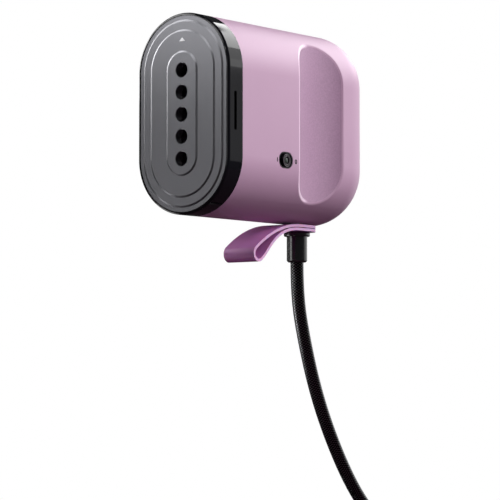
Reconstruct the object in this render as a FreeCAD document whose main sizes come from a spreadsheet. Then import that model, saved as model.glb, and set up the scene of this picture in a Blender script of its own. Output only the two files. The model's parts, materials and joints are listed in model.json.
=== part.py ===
"""Small hand-held garment steamer with a pull-through strap and a braided mains cord.

Frame: +Z up and the sole plate faces -Y. The power switch is on the +X side, the filler bung on the -X side.
The origin is the middle of the grip, between the two finger scoops. Millimetres.
"""
import FreeCAD
import Part
import Sketcher
import math
import os
from FreeCAD import Placement, Rotation, Vector

OUT = "parts"

# Driving sizes, one cell each.
SIZES = {
    # Outline of the body: an upright racetrack carried straight back from the head to a rounded rear.
    "body_width": 61.0,
    "body_height": 106.0,
    "head_reach": 81.5,          # from the middle of the grip forward to the rim of the head
    "rear_reach": 50.5,          # from the middle of the grip back to the rear face
    "rear_round": 22.0,
    "shell_wall": 2.2,
    "fit_gap": 0.1,              # between pieces that are fixed together
    "run_gap": 0.3,              # between pieces that move past each other
    # Head: sole plate in a gloss band.
    "band_depth": 11.8,
    "band_edge": 1.4,
    "rim_width": 1.5,
    "ledge_width": 9.5,
    "lip_length": 5.0,
    "lip_wall": 1.8,
    "slot_height": 20.0,
    "slot_width": 2.1,
    "slot_setback": 5.7,
    "slot_depth": 3.2,
    "plate_thick": 3.2,
    "plate_sunk": 0.3,
    "step_rise": 0.45,
    "step_slope": 1.0,
    "outer_step_inset": 2.6,
    "middle_step_inset": 7.8,
    "inner_step_inset": 19.0,
    "jet_bore": 7.4,
    "jet_edge": 0.35,
    "jet_overrun": 0.78,         # the end jets' centres, past the ends of the straight sides
    "jet_drop": 0.5,
    "gasket_thick": 0.8,
    "gasket_width": 3.4,
    # Steam chamber and heater.
    "chamber_wall": 3.5,
    "chamber_rear": 18.8,        # rear face, behind the rim of the head
    "chamber_floor": 6.0,
    "inlet_over": 5.0,
    "flange_room": 0.4,          # between the band's lip and the flange
    "head_screw_inset": 4.5,
    "head_screw_lap": 2.4,
    "flange_thick": 3.0,
    "heater_radius": 3.25,
    "heater_spread": 11.0,
    "heater_over": 3.5,
    "heater_under": 6.5,
    "pin_radius": 1.2,
    "pin_reach": 7.2,
    "disc_radius": 6.8,
    "disc_thick": 5.0,
    "fuse_radius": 2.0,
    "fuse_length": 12.0,
    "fuse_height": 14.0,
    # Grip scoops and the soft skins let into them.
    "grip_span": 40.0,
    "grip_depth": 8.3,
    "grip_front_lip": 2.0,       # the rounding of a scoop's front edge
    "grip_rear_lip": 0.6,        # and of its rear edge
    "pad_skin": 0.8,
    "pad_inset": 0.75,           # from the shell's outer face down to the skin's outline
    # Power switch.
    "switch_setback": 49.1,
    "well_length": 12.4,
    "well_height": 8.8,
    "well_depth": 1.8,
    "bezel_wall": 0.6,
    "bezel_drop": 1.0,           # between the shell's inner wall and the bezel's flange
    "knob_radius": 3.45,
    "knob_thick": 1.5,
    "knob_dish": 2.4,
    "stem_width": 2.4,
    "switch_travel": 2.0,
    "housing_reach": 18.5,
    # Filler bung on the other side.
    "filler_forward": 36.0,
    "filler_height": 16.0,
    "filler_bore": 6.2,
    "neck_wall": 1.3,
    "bung_cap_radius": 8.6,
    "bung_cap_thick": 1.6,
    "bung_recess": 1.2,
    "bung_length": 5.0,
    "bung_wall": 1.3,
    "bung_skin": 0.6,
    # Chassis, tank and pump.
    "chassis_setback": 30.5,     # from the rim back to the chassis' seat on its bosses
    "chassis_thick": 2.0,
    "chassis_margin": 1.3,
    "shield_thick": 1.0,
    "shelf_top": 4.0,
    "shelf_room": 2.5,           # between the scoops' inner walls and the shelf
    "shelf_setback": 12.5,
    "boss_radius": 3.6,
    "boss_length": 20.0,
    "boss_angle": 27.5,
    "boss_merge": 0.2,
    "tank_headroom": 15.0,
    "hose_room": 7.0,
    "board_room": 12.0,
    "tank_wall": 1.6,
    "tank_round": 4.0,
    "pump_aside": 4.0,
    "pump_drop": 11.0,
    "pump_front": 24.0,
    "coil_radius": 9.3,
    "coil_length": 20.0,
    "bracket_thick": 1.5,
    "barrel_radius": 5.0,
    "barrel_bore": 3.2,
    "plunger_gap": 0.08,
    "plunger_length": 12.0,
    "spring_wire": 0.35,
    "spring_radius": 2.4,
    "spring_length": 7.0,
    "spring_turns": 5.0,
    "spigot_radius": 1.6,
    "spigot_bore": 0.9,
    "spigot_length": 7.0,
    "hose_radius": 2.6,
    "hose_bend": 3.4,
    "board_thick": 1.6,
    "board_headroom": 23.0,
    # Cord entry, bush and strap.
    "bush_back": 18.3,           # axis, behind the middle of the grip
    "collar_radius": 7.25,
    "collar_thick": 2.2,
    "collar_edge": 0.7,
    "neck_radius": 5.65,
    "neck_length": 14.2,
    "neck_edge": 0.8,
    "spindle_radius": 4.6,
    "nut_radius": 8.0,
    "nut_thick": 3.0,
    "strap_width": 20.5,
    "strap_thick": 1.5,
    "strap_gap": 0.4,
    "strap_upper_flat": 10.7,    # how far each end lies flat, forward of the bush's axis
    "strap_lower_flat": 11.1,
    "strap_nose_reach": 47.9,
    "strap_nose_drop": 17.9,
    "strap_nose_round": 3.75,
    "strap_fall": 36.0,          # degrees, where the upper leg meets the nose
    "strap_rise": 30.0,          # degrees, where the lower leg leaves it
    "strap_upper_pull": 5.6,     # how strongly each end of a leg holds its heading
    "strap_fall_pull": 22.5,
    "strap_rise_pull": 8.9,
    "strap_lower_pull": 22.7,
    # Mains cord, its coil and its plug.
    "cord_radius": 3.6,
    "cord_gap": 0.05,
    "floor_drop": 245.0,         # from the middle of the grip down to what the coil lies on
    "coil_middle": 37.5,         # the middle lane's radius
    "coil_lanes": 3,
    "coil_rows": 3,
    "coil_aside": 34.0,
    "coil_back": 100.0,
    "tie_thick": 0.8,
    "tie_width": 12.0,
    "plug_width": 36.0,
    "plug_thick": 20.0,
    "plug_face_length": 14.0,
    "plug_taper_length": 24.0,
    "plug_relief_radius": 5.6,
    "relief_length": 22.0,
    "relief_tip": 4.4,
    "relief_bore_depth": 8.0,
    "pin_shank": 2.4,
    "pin_spacing": 19.0,
    "pin_length": 19.0,
    "plug_turn": 20.0,           # degrees
}

doc = FreeCAD.newDocument("garment_steamer")
sheet = doc.addObject("Spreadsheet::Sheet", "dim")
nodes = {}


def fill_sheet():
    """One row for each driving size: its name beside its value."""
    for row, (alias, value) in enumerate(SIZES.items(), 1):
        sheet.set(f"A{row}", alias)
        sheet.set(f"B{row}", str(value))
        sheet.setAlias(f"B{row}", alias)
    doc.recompute()


def num(formula):
    """The value of a formula over the sheet's cells."""
    return float(sheet.evalExpression(formula))


# Planes and places that several pieces share, as formulas over the cells.
HALF_WIDTH = "dim.body_width / 2"
HALF_HEIGHT = "dim.body_height / 2"
END_CENTRE = "((dim.body_height - dim.body_width) / 2)"
RIM_FRONT = "-dim.head_reach"
PLATE_FRONT = f"({RIM_FRONT} + dim.plate_sunk)"
PLATE_BACK = f"({PLATE_FRONT} + dim.plate_thick)"
SEAT = f"({PLATE_BACK} + dim.gasket_thick)"
SHELL_FRONT = f"({RIM_FRONT} + dim.band_depth)"
CHAMBER_REAR = f"({RIM_FRONT} + dim.chamber_rear)"
JET_REACH = f"({END_CENTRE} + dim.jet_overrun)"
PLATE_WIDTH = "(dim.body_width - 2 * dim.rim_width - 2 * dim.fit_gap)"
PLATE_HEIGHT = "(dim.body_height - 2 * dim.rim_width - 2 * dim.fit_gap)"
LEDGE_WIDTH = "(dim.body_width - 2 * dim.ledge_width)"
LEDGE_HEIGHT = "(dim.body_height - 2 * dim.ledge_width)"
INNER_HALF = "(dim.body_width / 2 - dim.shell_wall)"
INNER_FLOOR = "(-dim.body_height / 2 + dim.shell_wall)"
INLET_Z = f"({END_CENTRE} + dim.inlet_over)"
HEATER_RISE = f"({END_CENTRE} + dim.heater_over)"
HEATER_DROP = f"({END_CENTRE} + dim.heater_under)"
PIN_HEIGHT = f"(2 - {HEATER_DROP})"
CORE_WIDTH = f"({LEDGE_WIDTH} - 1)"
CORE_HEIGHT = f"({LEDGE_HEIGHT} - 1)"
LIP_INSET = "(dim.fit_gap + dim.lip_wall)"
FLANGE_WIDTH = f"(2 * ({INNER_HALF} - {LIP_INSET} - dim.flange_room))"
FLANGE_HEIGHT = f"(2 * (-{INNER_FLOOR} - {LIP_INSET} - dim.flange_room))"
FLANGE_FRONT = f"({SHELL_FRONT} + dim.fit_gap)"
FLANGE_REAR = f"({FLANGE_FRONT} + dim.flange_thick)"
CHASSIS_SEAT = f"({RIM_FRONT} + dim.chassis_setback)"
CHASSIS_FRONT = f"({CHASSIS_SEAT} - dim.chassis_thick)"
SHIELD_FRONT = f"({CHASSIS_FRONT} - dim.shield_thick)"
SHELF_WIDTH = "(dim.body_width - 2 * (dim.grip_depth + dim.shell_wall + dim.shelf_room))"
SHELF_REAR = "(dim.rear_reach - dim.shelf_setback)"
TANK_FRONT = f"({CHASSIS_SEAT} + dim.hose_room)"
TANK_REAR = f"({SHELF_REAR} - dim.board_room)"
TANK_TOP = f"({HALF_HEIGHT} - dim.tank_headroom)"
SHELF_UNDER = "(dim.shelf_top - dim.chassis_thick)"
SCOOP_RADIUS = "(dim.grip_span * dim.grip_span / (8 * dim.grip_depth) + dim.grip_depth / 2)"
SCOOP_AXIS = f"(dim.body_width / 2 - dim.grip_depth + {SCOOP_RADIUS})"
SWITCH_Y = "(-dim.head_reach + dim.switch_setback)"
SWITCH_Z = f"(-{END_CENTRE})"
KNOB_Y = f"({SWITCH_Y} + dim.switch_travel / 2)"
STRAP_TOP = "(-dim.body_height / 2 - dim.run_gap)"
STRAP_UNDER = f"({STRAP_TOP} - 2 * dim.strap_thick - dim.strap_gap)"
COLLAR_TOP = f"({STRAP_UNDER} - dim.run_gap)"
NECK_TOP = f"({COLLAR_TOP} - dim.collar_thick)"
NECK_END = f"({NECK_TOP} - dim.neck_length)"
NUT_SEAT = f"({INNER_FLOOR} + 1.5)"
PUMP_REAR = "(-dim.pump_front + dim.coil_length)"
BARREL_FRONT = "(-dim.pump_front - 6)"
BARREL_REAR = f"({PUMP_REAR} + 6)"
PLUNGER_REAR = f"({BARREL_REAR} - 3 - dim.spring_length)"
PLUNGER_FRONT = f"({PLUNGER_REAR} - dim.plunger_length)"
HEAD_SCREW_RING = f"({LEDGE_WIDTH} / 2 + dim.head_screw_lap)"
COIL_FLOOR = "(-dim.floor_drop + dim.tie_thick)"
COIL_HEIGHT = "(2 * dim.coil_rows * dim.cord_radius)"
COIL_INNER = "(dim.coil_middle - dim.coil_lanes * dim.cord_radius)"
COIL_OUTER = "(dim.coil_middle + dim.coil_lanes * dim.cord_radius)"

SIDES = (("right", ""), ("left", "-"))
ALONG = {
    "+x": Rotation(Vector(0, 0, 1), Vector(1, 0, 0)),
    "-x": Rotation(Vector(0, 0, 1), Vector(-1, 0, 0)),
    "+y": Rotation(Vector(0, 0, 1), Vector(0, 1, 0)),
    "-y": Rotation(Vector(0, 0, 1), Vector(0, -1, 0)),
    "+z": Rotation(),
    "-z": Rotation(Vector(0, 0, 1), Vector(0, 0, -1)),
}


# Plain solids, all sized and placed by formulas.

def put(item, place, turn=Rotation()):
    """Turn an object and bind its position."""
    item.Placement = Placement(Vector(), turn)
    for axis, formula in zip("xyz", place):
        item.setExpression("Placement.Base." + axis, str(formula))
    return item


def box(name, centre, size):
    """A box about its centre."""
    item = doc.addObject("Part::Box", name)
    corner = [f"({middle}) - ({length}) / 2" for middle, length in zip(centre, size)]
    for side, length in zip(("Length", "Width", "Height"), size):
        item.setExpression(side, str(length))
    return put(item, corner)


def rod(name, radius, length, start, along):
    """A cylinder from the centre of its first end."""
    item = doc.addObject("Part::Cylinder", name)
    item.setExpression("Radius", str(radius))
    item.setExpression("Height", str(length))
    return put(item, start, ALONG[along])


def fuse(name, *items):
    item = doc.addObject("Part::MultiFuse", name)
    item.Shapes = list(items)
    return item


def cut(name, base, *tools):
    item = doc.addObject("Part::Cut", name)
    item.Base = base
    item.Tool = tools[0] if len(tools) == 1 else fuse(name + "_tools", *tools)
    return item


def common(name, first, second):
    item = doc.addObject("Part::Common", name)
    item.Base = first
    item.Tool = second
    return item


def fillet(name, base, radii_of):
    """Round each edge to which radii_of gives a pair of radii, one for each end."""
    made = doc.addObject("Part::Fillet", name)
    made.Base = base
    doc.recompute()
    found = [(number, radii_of(edge)) for number, edge in enumerate(base.Shape.Edges, 1)]
    made.Edges = [(number, *radii) for number, radii in found if radii]
    return made


def pipe(name, outer, bore, length, start, along):
    """A round tube."""
    wall = rod(name + "_wall", outer, length, start, along)
    hole = rod(name + "_hole", bore, length, start, along)
    return cut(name, wall, hole)


def node(name, item):
    """Register a finished piece under the name that its file takes."""
    item.Label = name
    nodes[name] = item
    return item


# PartDesign bodies and their sketches.

def sketch(owner, role, name, offset="0"):
    """A sketch on one of the body's own origin planes, moved along the plane's normal."""
    made = owner.newObject("Sketcher::SketchObject", name)
    plane = next(item for item in owner.Origin.OriginFeatures if item.Role == role)
    made.AttachmentSupport = [(plane, "")]
    made.MapMode = "FlatFace"
    made.setExpression("AttachmentOffset.Base.z", str(offset))
    return made


def bind(made, constraint, formula):
    """Add a sized constraint and bind it to a formula."""
    made.setExpression(f"Constraints[{made.addConstraint(constraint)}]", formula)


def racetrack(made, width, height):
    """An upright racetrack about the sketch's origin: two half circles and two straight sides."""
    radius = num(f"({width}) / 2")
    middle = num(f"(({height}) - ({width})) / 2")
    top = Part.ArcOfCircle(Part.Circle(Vector(0, middle, 0), Vector(0, 0, 1), radius), 0, math.pi)
    bottom = Part.ArcOfCircle(Part.Circle(Vector(0, -middle, 0), Vector(0, 0, 1), radius), math.pi,
                              2 * math.pi)
    made.addGeometry(top)
    made.addGeometry(Part.LineSegment(Vector(-radius, middle, 0), Vector(-radius, -middle, 0)))
    made.addGeometry(bottom)
    made.addGeometry(Part.LineSegment(Vector(radius, -middle, 0), Vector(radius, middle, 0)))
    for first, second in ((0, 1), (1, 2), (2, 3), (3, 0)):
        made.addConstraint(Sketcher.Constraint("Tangent", first, 2, second, 1))
    made.addConstraint(Sketcher.Constraint("PointOnObject", 0, 3, -2))
    made.addConstraint(Sketcher.Constraint("Symmetric", 0, 3, 2, 3, -1, 1))
    made.addConstraint(Sketcher.Constraint("Equal", 0, 2))
    bind(made, Sketcher.Constraint("Radius", 0, radius), f"({width}) / 2")
    bind(made, Sketcher.Constraint("DistanceY", 2, 3, 0, 3, 2 * middle), f"({height}) - ({width})")
    return made


def track_sketch(owner, name, width, height, front):
    """A racetrack outline that faces forward, at the plane y = front."""
    return racetrack(sketch(owner, "XZ_Plane", name, f"-({front})"), width, height)


def pad(owner, name, outline, length, rearward=True):
    """A pad from a sketch, towards the rear for an outline that faces forward."""
    made = owner.newObject("PartDesign::Pad", name)
    made.Profile = outline
    made.Reversed = rearward
    made.setExpression("Length", str(length))
    return made


def track_prism(name, width, height, front, length):
    """A body that holds one racetrack prism, from the plane y = front towards the rear."""
    owner = doc.addObject("PartDesign::Body", name)
    outline = track_sketch(owner, name + "_outline", width, height, front)
    pad(owner, name + "_pad", outline, length)
    return owner


def edges_at(shape, test):
    """The names of a shape's edges that pass a test."""
    return [f"Edge{number}" for number, edge in enumerate(shape.Edges, 1) if test(edge)]


def level(edge, height):
    """Whether a whole edge lies in the plane y = height."""
    heights = [edge.CenterOfMass.y, *[vertex.Y for vertex in edge.Vertexes]]
    return all(abs(value - height) < 1e-6 for value in heights)


def round_off(owner, name, before, edges, radius, kind="Fillet"):
    """A fillet or chamfer on named edges of the feature before it."""
    made = owner.newObject("PartDesign::" + kind, name)
    made.Base = (before, edges)
    made.setExpression("Radius" if kind == "Fillet" else "Size", str(radius))
    return made


def rounded_prism(name, width, height, front, length, radius, at_rear):
    """A racetrack prism with one of its two end edges rounded."""
    owner = track_prism(name, width, height, front, length)
    doc.recompute()
    plane = num(f"({front}) + ({length})") if at_rear else num(front)
    edges = edges_at(owner.Tip.Shape, lambda edge: level(edge, plane))
    round_off(owner, name + "_round", owner.Tip, edges, radius)
    return owner


# Tubes along a route of straight runs joined by tangent arcs.

def rounded_route(points, bend=None, share=0.45):
    """The route's wire and its arcs' radii. With no bend given, each arc is as large as its runs allow."""
    edges, radii = [], []
    start = points[0]
    for before, corner, after in zip(points, points[1:], points[2:]):
        back, ahead = before - corner, after - corner
        half_turn = (math.pi - back.getAngle(ahead)) / 2
        radius = bend or share * min(back.Length, ahead.Length) / math.tan(half_turn)
        reach = radius * math.tan(half_turn)
        back.normalize()
        ahead.normalize()
        into, out = corner + back * reach, corner + ahead * reach
        towards = (back + ahead).normalize()
        middle = corner + towards * (radius / math.cos(half_turn) - radius)
        edges.append(Part.LineSegment(start, into).toShape())
        edges.append(Part.Arc(into, middle, out).toShape())
        radii.append(radius)
        start = out
    edges.append(Part.LineSegment(start, points[-1]).toShape())
    return Part.Wire(edges), radii


def along_route(wire, radius):
    """A solid round bar along a wire."""
    first = wire.Edges[0]
    direction = first.tangentAt(first.FirstParameter)
    circle = Part.Wire(Part.makeCircle(radius, wire.Vertexes[0].Point, direction))
    return wire.makePipeShell([circle], True, False)


def route_feature(name, shape):
    """A feature whose shape is worked out from the sheet's values."""
    item = doc.addObject("Part::Feature", name)
    item.Shape = shape
    item.Placement = Placement()
    return item


def spot(*formulas):
    return Vector(*[num(str(formula)) for formula in formulas])


# Fasteners.

def screw(name, start, along, length, radius, head_radius, head_thick):
    """A socket screw. It starts under its head and points along its shank."""
    away = {"+": "-", "-": "+"}[along[0]] + along[1]
    shank = rod(name + "_shank", radius, length, start, along)
    head = rod(name + "_head", head_radius, head_thick, start, away)
    hexagon = doc.addObject("Part::Prism", name + "_hexagon")
    hexagon.Polygon = 6
    hexagon.setExpression("Circumradius", f"({head_radius}) / 2")
    hexagon.setExpression("Height", f"({head_thick})")
    axis = "xyz".index(along[1])
    sign = "-" if along[0] == "+" else "+"
    deep = list(start)
    deep[axis] = f"({start[axis]}) {sign} ({head_thick}) / 3"
    put(hexagon, deep, ALONG[away])
    return cut(name, fuse(name + "_blank", head, shank), hexagon)


def screw_group(name, starts, along, length, radius, head_radius, head_thick):
    """Several identical screws in one node."""
    made = [
        screw(f"{name}_{number}", start, along, length, radius, head_radius, head_thick)
        for number, start in enumerate(starts, 1)
    ]
    group = doc.addObject("Part::Compound", name)
    group.Links = made
    return node(name, group)


def head_screw_places(plane):
    """Six screws round the head: two on each straight side and one at each end."""
    sides = [(f"{sx}{HEAD_SCREW_RING}", plane,
              f"{sz}({END_CENTRE} - dim.head_screw_inset)") for sx in ("", "-") for sz in ("", "-")]
    ends = [("0", plane, f"{sz}({END_CENTRE} + {HEAD_SCREW_RING})") for sz in ("", "-")]
    return sides + ends


def boss_places(plane):
    """The four bosses that carry the chassis."""
    ring = f"({INNER_HALF} - dim.boss_radius + dim.boss_merge)"
    spread, rise = f"({ring} * cos(dim.boss_angle))", f"({END_CENTRE} + {ring} * sin(dim.boss_angle))"
    return [(f"{sx}{spread}", plane, f"{sz}{rise}") for sx in ("", "-") for sz in ("", "-")]


def drills(name, places, radius, length, along):
    """A set of equal cylinders to cut with."""
    return fuse(name,
                *[rod(f"{name}_{k}", radius, length, place, along) for k, place in enumerate(places, 1)])


JET_COUNT = 5
SCREW_RADIUS = "1.25"
SCREW_HEAD = "2.2"
SCREW_HEAD_THICK = "1.6"


# Head.

def make_sole_plate():
    """A plate with three low terraces that rise towards its middle, and a row of steam jets."""
    owner = track_prism("plate_blank", PLATE_WIDTH, PLATE_HEIGHT, PLATE_FRONT, "dim.plate_thick")
    front = PLATE_FRONT
    for step in ("outer", "middle", "inner"):
        width, height = [f"{size} - 2 * dim.{step}_step_inset" for size in (PLATE_WIDTH, PLATE_HEIGHT)]
        foot = track_sketch(owner, f"{step}_foot", f"{width} + dim.step_slope",
                            f"{height} + dim.step_slope", front)
        front = f"({front} - dim.step_rise)"
        crown = track_sketch(owner, f"{step}_crown", f"{width} - dim.step_slope",
                             f"{height} - dim.step_slope", front)
        terrace = owner.newObject("PartDesign::AdditiveLoft", f"{step}_terrace")
        terrace.Profile = foot
        terrace.Sections = [crown]
        terrace.Ruled = True
        doc.recompute()
    cut_jets(owner, front)
    blind = drills("plate_threads", head_screw_places(PLATE_BACK), SCREW_RADIUS, "1.7", "-y")
    return node("sole_plate", cut("sole_plate_drilled", owner, blind))


def cut_jets(owner, front):
    """The top jet, its chamfered mouth and the pattern that repeats them down the plate."""
    outline = sketch(owner, "XZ_Plane", "jet_outline", f"-({front})")
    radius, top = num("dim.jet_bore / 2"), num(f"{JET_REACH} - dim.jet_drop")
    outline.addGeometry(Part.Circle(Vector(0, top, 0), Vector(0, 0, 1), radius))
    outline.addConstraint(Sketcher.Constraint("PointOnObject", 0, 3, -2))
    bind(outline, Sketcher.Constraint("Radius", 0, radius), "dim.jet_bore / 2")
    bind(outline, Sketcher.Constraint("DistanceY", -1, 1, 0, 3, top), f"{JET_REACH} - dim.jet_drop")
    jet = owner.newObject("PartDesign::Pocket", "jet")
    jet.Profile = outline
    jet.setExpression("Length", "dim.plate_thick + 4 * dim.step_rise")
    row = owner.newObject("PartDesign::LinearPattern", "jet_row")
    row.Originals = [jet]
    row.Direction = (outline, ["V_Axis"])
    row.Reversed = True
    row.setExpression("Length", f"2 * {JET_REACH}")
    row.Occurrences = JET_COUNT
    owner.Tip = row
    doc.recompute()
    mouth = num(front)
    edges = edges_at(row.Shape, lambda edge: level(edge, mouth) and len(edge.Vertexes) == 1)
    round_off(owner, "jet_mouths", row, edges, "dim.jet_edge", "Chamfer")


def make_head_band():
    """The gloss band: a rim round the plate, a ledge behind it and a lip that enters the shell."""
    ring = rounded_prism("band_ring", "dim.body_width", "dim.body_height", RIM_FRONT, "dim.band_depth",
                         "dim.band_edge", at_rear=False)
    lip = track_prism("band_lip", f"2 * ({INNER_HALF} - dim.fit_gap)",
                      f"2 * (-{INNER_FLOOR} - dim.fit_gap)",
                      SHELL_FRONT, "dim.lip_length")
    lip_hole = track_prism("band_lip_hole", f"2 * ({INNER_HALF} - {LIP_INSET})",
                           f"2 * (-{INNER_FLOOR} - {LIP_INSET})", SHELL_FRONT, "dim.lip_length")
    pocket = track_prism("band_pocket", "dim.body_width - 2 * dim.rim_width",
                         "dim.body_height - 2 * dim.rim_width",
                         RIM_FRONT, f"{SEAT} - {RIM_FRONT}")
    opening = track_prism("band_opening", LEDGE_WIDTH, LEDGE_HEIGHT, RIM_FRONT, "dim.band_depth")
    slot_y = f"{RIM_FRONT} + dim.slot_setback"
    slots = [box(f"band_slot_{side}", (f"{sign}({HALF_WIDTH})", slot_y, "0"),
                 ("2 * dim.slot_depth", "dim.slot_width", "dim.slot_height"))
             for side, sign in SIDES]
    holes = drills("band_screw_holes", head_screw_places(SEAT), f"{SCREW_RADIUS} + dim.fit_gap",
                   "dim.band_depth", "+y")
    blank = fuse("band_blank", ring, cut("band_lip_ring", lip, lip_hole))
    return node("head_band", cut("head_band_cut", blank, pocket, opening, holes, *slots))


def track_ring(name, width, height, wall, front, length):
    """A flat racetrack ring."""
    outer = track_prism(name + "_outer", width, height, front, length)
    inner = track_prism(name + "_inner", f"{width} - 2 * ({wall})", f"{height} - 2 * ({wall})", front,
                        length)
    return cut(name + "_ring", outer, inner)


def make_gaskets():
    """A seal between plate and band, and one between plate and chamber."""
    slack = "2 * dim.fit_gap"
    node("plate_gasket",
         track_ring("plate_gasket", f"({PLATE_WIDTH} - {slack})", f"({PLATE_HEIGHT} - {slack})",
                                    "dim.gasket_width", PLATE_BACK, "dim.gasket_thick"))
    node("chamber_gasket", track_ring("chamber_gasket", CORE_WIDTH, CORE_HEIGHT, "dim.chamber_wall",
                                      PLATE_BACK, "dim.gasket_thick"))


def heater_solid(name, radius):
    """A hairpin: two upright legs joined by a half ring at their top."""
    legs = [rod(f"{name}_{side}", radius, f"{HEATER_RISE} + {HEATER_DROP}",
                (f"{sign}dim.heater_spread", CHAMBER_REAR, f"-{HEATER_DROP}"), "+z")
            for side, sign in SIDES]
    crown = doc.addObject("Part::Torus", f"{name}_crown")
    crown.setExpression("Radius1", "dim.heater_spread")
    crown.setExpression("Radius2", str(radius))
    crown.Angle3 = 180
    put(crown, ("0", CHAMBER_REAR, HEATER_RISE), Rotation(Vector(1, 0, 0), 90))
    return fuse(name, *legs, crown)


def make_steam_chamber():
    """A cast pan with a flange, a groove for the heater across its back and a water inlet."""
    core = track_prism("chamber_core", CORE_WIDTH, CORE_HEIGHT, SEAT, f"{CHAMBER_REAR} - {SEAT}")
    flange = track_prism("chamber_flange", FLANGE_WIDTH, FLANGE_HEIGHT,
                         FLANGE_FRONT, "dim.flange_thick")
    inlet = rod("chamber_inlet", "dim.spigot_radius", "dim.spigot_length",
                ("-dim.pump_aside", CHAMBER_REAR, INLET_Z), "+y")
    cavity = track_prism("chamber_cavity", f"{CORE_WIDTH} - 2 * dim.chamber_wall",
                         f"{CORE_HEIGHT} - 2 * dim.chamber_wall", SEAT,
                         f"{CHAMBER_REAR} - {SEAT} - dim.chamber_floor")
    inlet_bore = rod("chamber_inlet_bore", "dim.spigot_bore", "dim.spigot_length + dim.chamber_floor + 1",
                     ("-dim.pump_aside", f"{CHAMBER_REAR} + dim.spigot_length", INLET_Z), "-y")
    groove = heater_solid("chamber_groove", "dim.heater_radius + dim.fit_gap / 2")
    holes = drills("chamber_screw_holes", head_screw_places(FLANGE_FRONT), f"{SCREW_RADIUS} + dim.fit_gap",
                   "dim.flange_thick", "+y")
    blank = fuse("chamber_blank", core, flange, inlet)
    return node("steam_chamber", cut("steam_chamber_cut", blank, cavity, inlet_bore, groove, holes))


def make_heater():
    """The tubular heater, half sunk in its groove, with a cold pin at the foot of each leg."""
    tube = heater_solid("heater_tube", "dim.heater_radius")
    pins = [rod(f"heater_pin_{side}", "dim.pin_radius", "dim.pin_reach",
                (f"{sign}dim.heater_spread", CHAMBER_REAR, PIN_HEIGHT), "+y")
            for side, sign in SIDES]
    return node("heating_element", fuse("heating_element_all", tube, *pins))


def make_sensors():
    """The disc thermostat and the thermal fuse with its clip, all against the chamber's back."""
    disc = rod("thermostat_disc", "dim.disc_radius", "dim.disc_thick", ("0", CHAMBER_REAR, "-6"), "+y")
    cap = rod("thermostat_cap", "dim.disc_radius - 2", "1.2",
              ("0", f"{CHAMBER_REAR} + dim.disc_thick", "-6"), "+y")
    node("thermostat", fuse("thermostat_all", disc, cap))
    fuse_y = f"({CHAMBER_REAR} + dim.fuse_radius + dim.fit_gap)"
    node("thermal_fuse", rod("thermal_fuse_body", "dim.fuse_radius", "dim.fuse_length",
                             ("2", fuse_y, "dim.fuse_height - dim.fuse_length / 2"), "+z"))
    clip = box("fuse_clip_blank", ("2", f"{CHAMBER_REAR} + dim.fuse_radius + 0.5", "dim.fuse_height"),
               ("2 * dim.fuse_radius + 3", "2 * dim.fuse_radius + 1", "5"))
    hole = rod("fuse_clip_hole", "dim.fuse_radius + dim.fit_gap / 2", "5",
               ("2", fuse_y, "dim.fuse_height - 2.5"), "+z")
    node("fuse_clip", cut("fuse_clip_cut", clip, hole))


# Shell and grip.

def scoop(name, side, extra="0"):
    """The upright cylinder whose side makes a finger scoop."""
    return rod(name, f"{SCOOP_RADIUS} + ({extra})", "dim.body_height",
               (f"{side}({SCOOP_AXIS})", "0", "-dim.body_height / 2"), "+z")


def skin_bed(name, side, slack):
    """What a scoop's soft skin fills: a layer under the scoop's face, within an outline below the shell's face."""
    inset = f"(dim.pad_inset + {slack})"
    within = rounded_prism(f"{name}_within", f"dim.body_width - 2 * {inset}", f"dim.body_height - 2 * {inset}",
                           SHELL_FRONT, f"dim.rear_reach - {SHELL_FRONT} - {inset}",
                           f"dim.rear_round - {inset}", at_rear=True)
    return common(name, within, scoop(f"{name}_layer", side, f"dim.pad_skin - {slack}"))


def scoop_lip(edge):
    """The radii at the ends of an edge between a scoop and the shell's face: larger at the front."""
    radius, axis, half = num(SCOOP_RADIUS), num(SCOOP_AXIS), num("dim.grip_span / 2")
    first, last = edge.ParameterRange
    places = [edge.valueAt(first + (last - first) * share) for share in (0, 0.3, 0.7, 1)]
    on_scoop = all(abs(math.hypot(axis - abs(place.x), place.y) - radius) < 1e-4 for place in places)
    along_middle = all(abs(place.y) < 1e-4 for place in places)
    if along_middle or not on_scoop:
        return None
    front, rear = num("dim.grip_front_lip"), num("dim.grip_rear_lip")
    return [front + (rear - front) * (place.y + half) / (2 * half) for place in (places[0], places[-1])]


def make_body_shell():
    """The one-piece shell: open in front, rounded at the rear, scooped on both sides."""
    length = f"dim.rear_reach - {SHELL_FRONT}"
    outer = rounded_prism("shell_outer", "dim.body_width", "dim.body_height", SHELL_FRONT, length,
                          "dim.rear_round", at_rear=True)
    inner = rounded_prism("shell_inner", f"2 * {INNER_HALF}", f"-2 * {INNER_FLOOR}", SHELL_FRONT,
                          f"{length} - dim.shell_wall", "dim.rear_round - dim.shell_wall", at_rear=True)
    scoops = [scoop(f"shell_scoop_{side}", sign) for side, sign in SIDES]
    walls = [scoop(f"shell_scoop_wall_{side}", sign, "dim.shell_wall") for side, sign in SIDES]
    beds = [skin_bed(f"shell_skin_bed_{side}", sign, "0") for side, sign in SIDES]
    face = fillet("shell_lipped", cut("shell_scooped", outer, *scoops), scoop_lip)
    skin = cut("shell_skin", cut("shell_bedded", face, *beds), cut("shell_core", inner, *walls))
    blank = fuse("shell_blank", skin, *shell_bosses())
    return node("body_shell", cut("body_shell_cut", blank, *shell_holes()))


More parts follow.
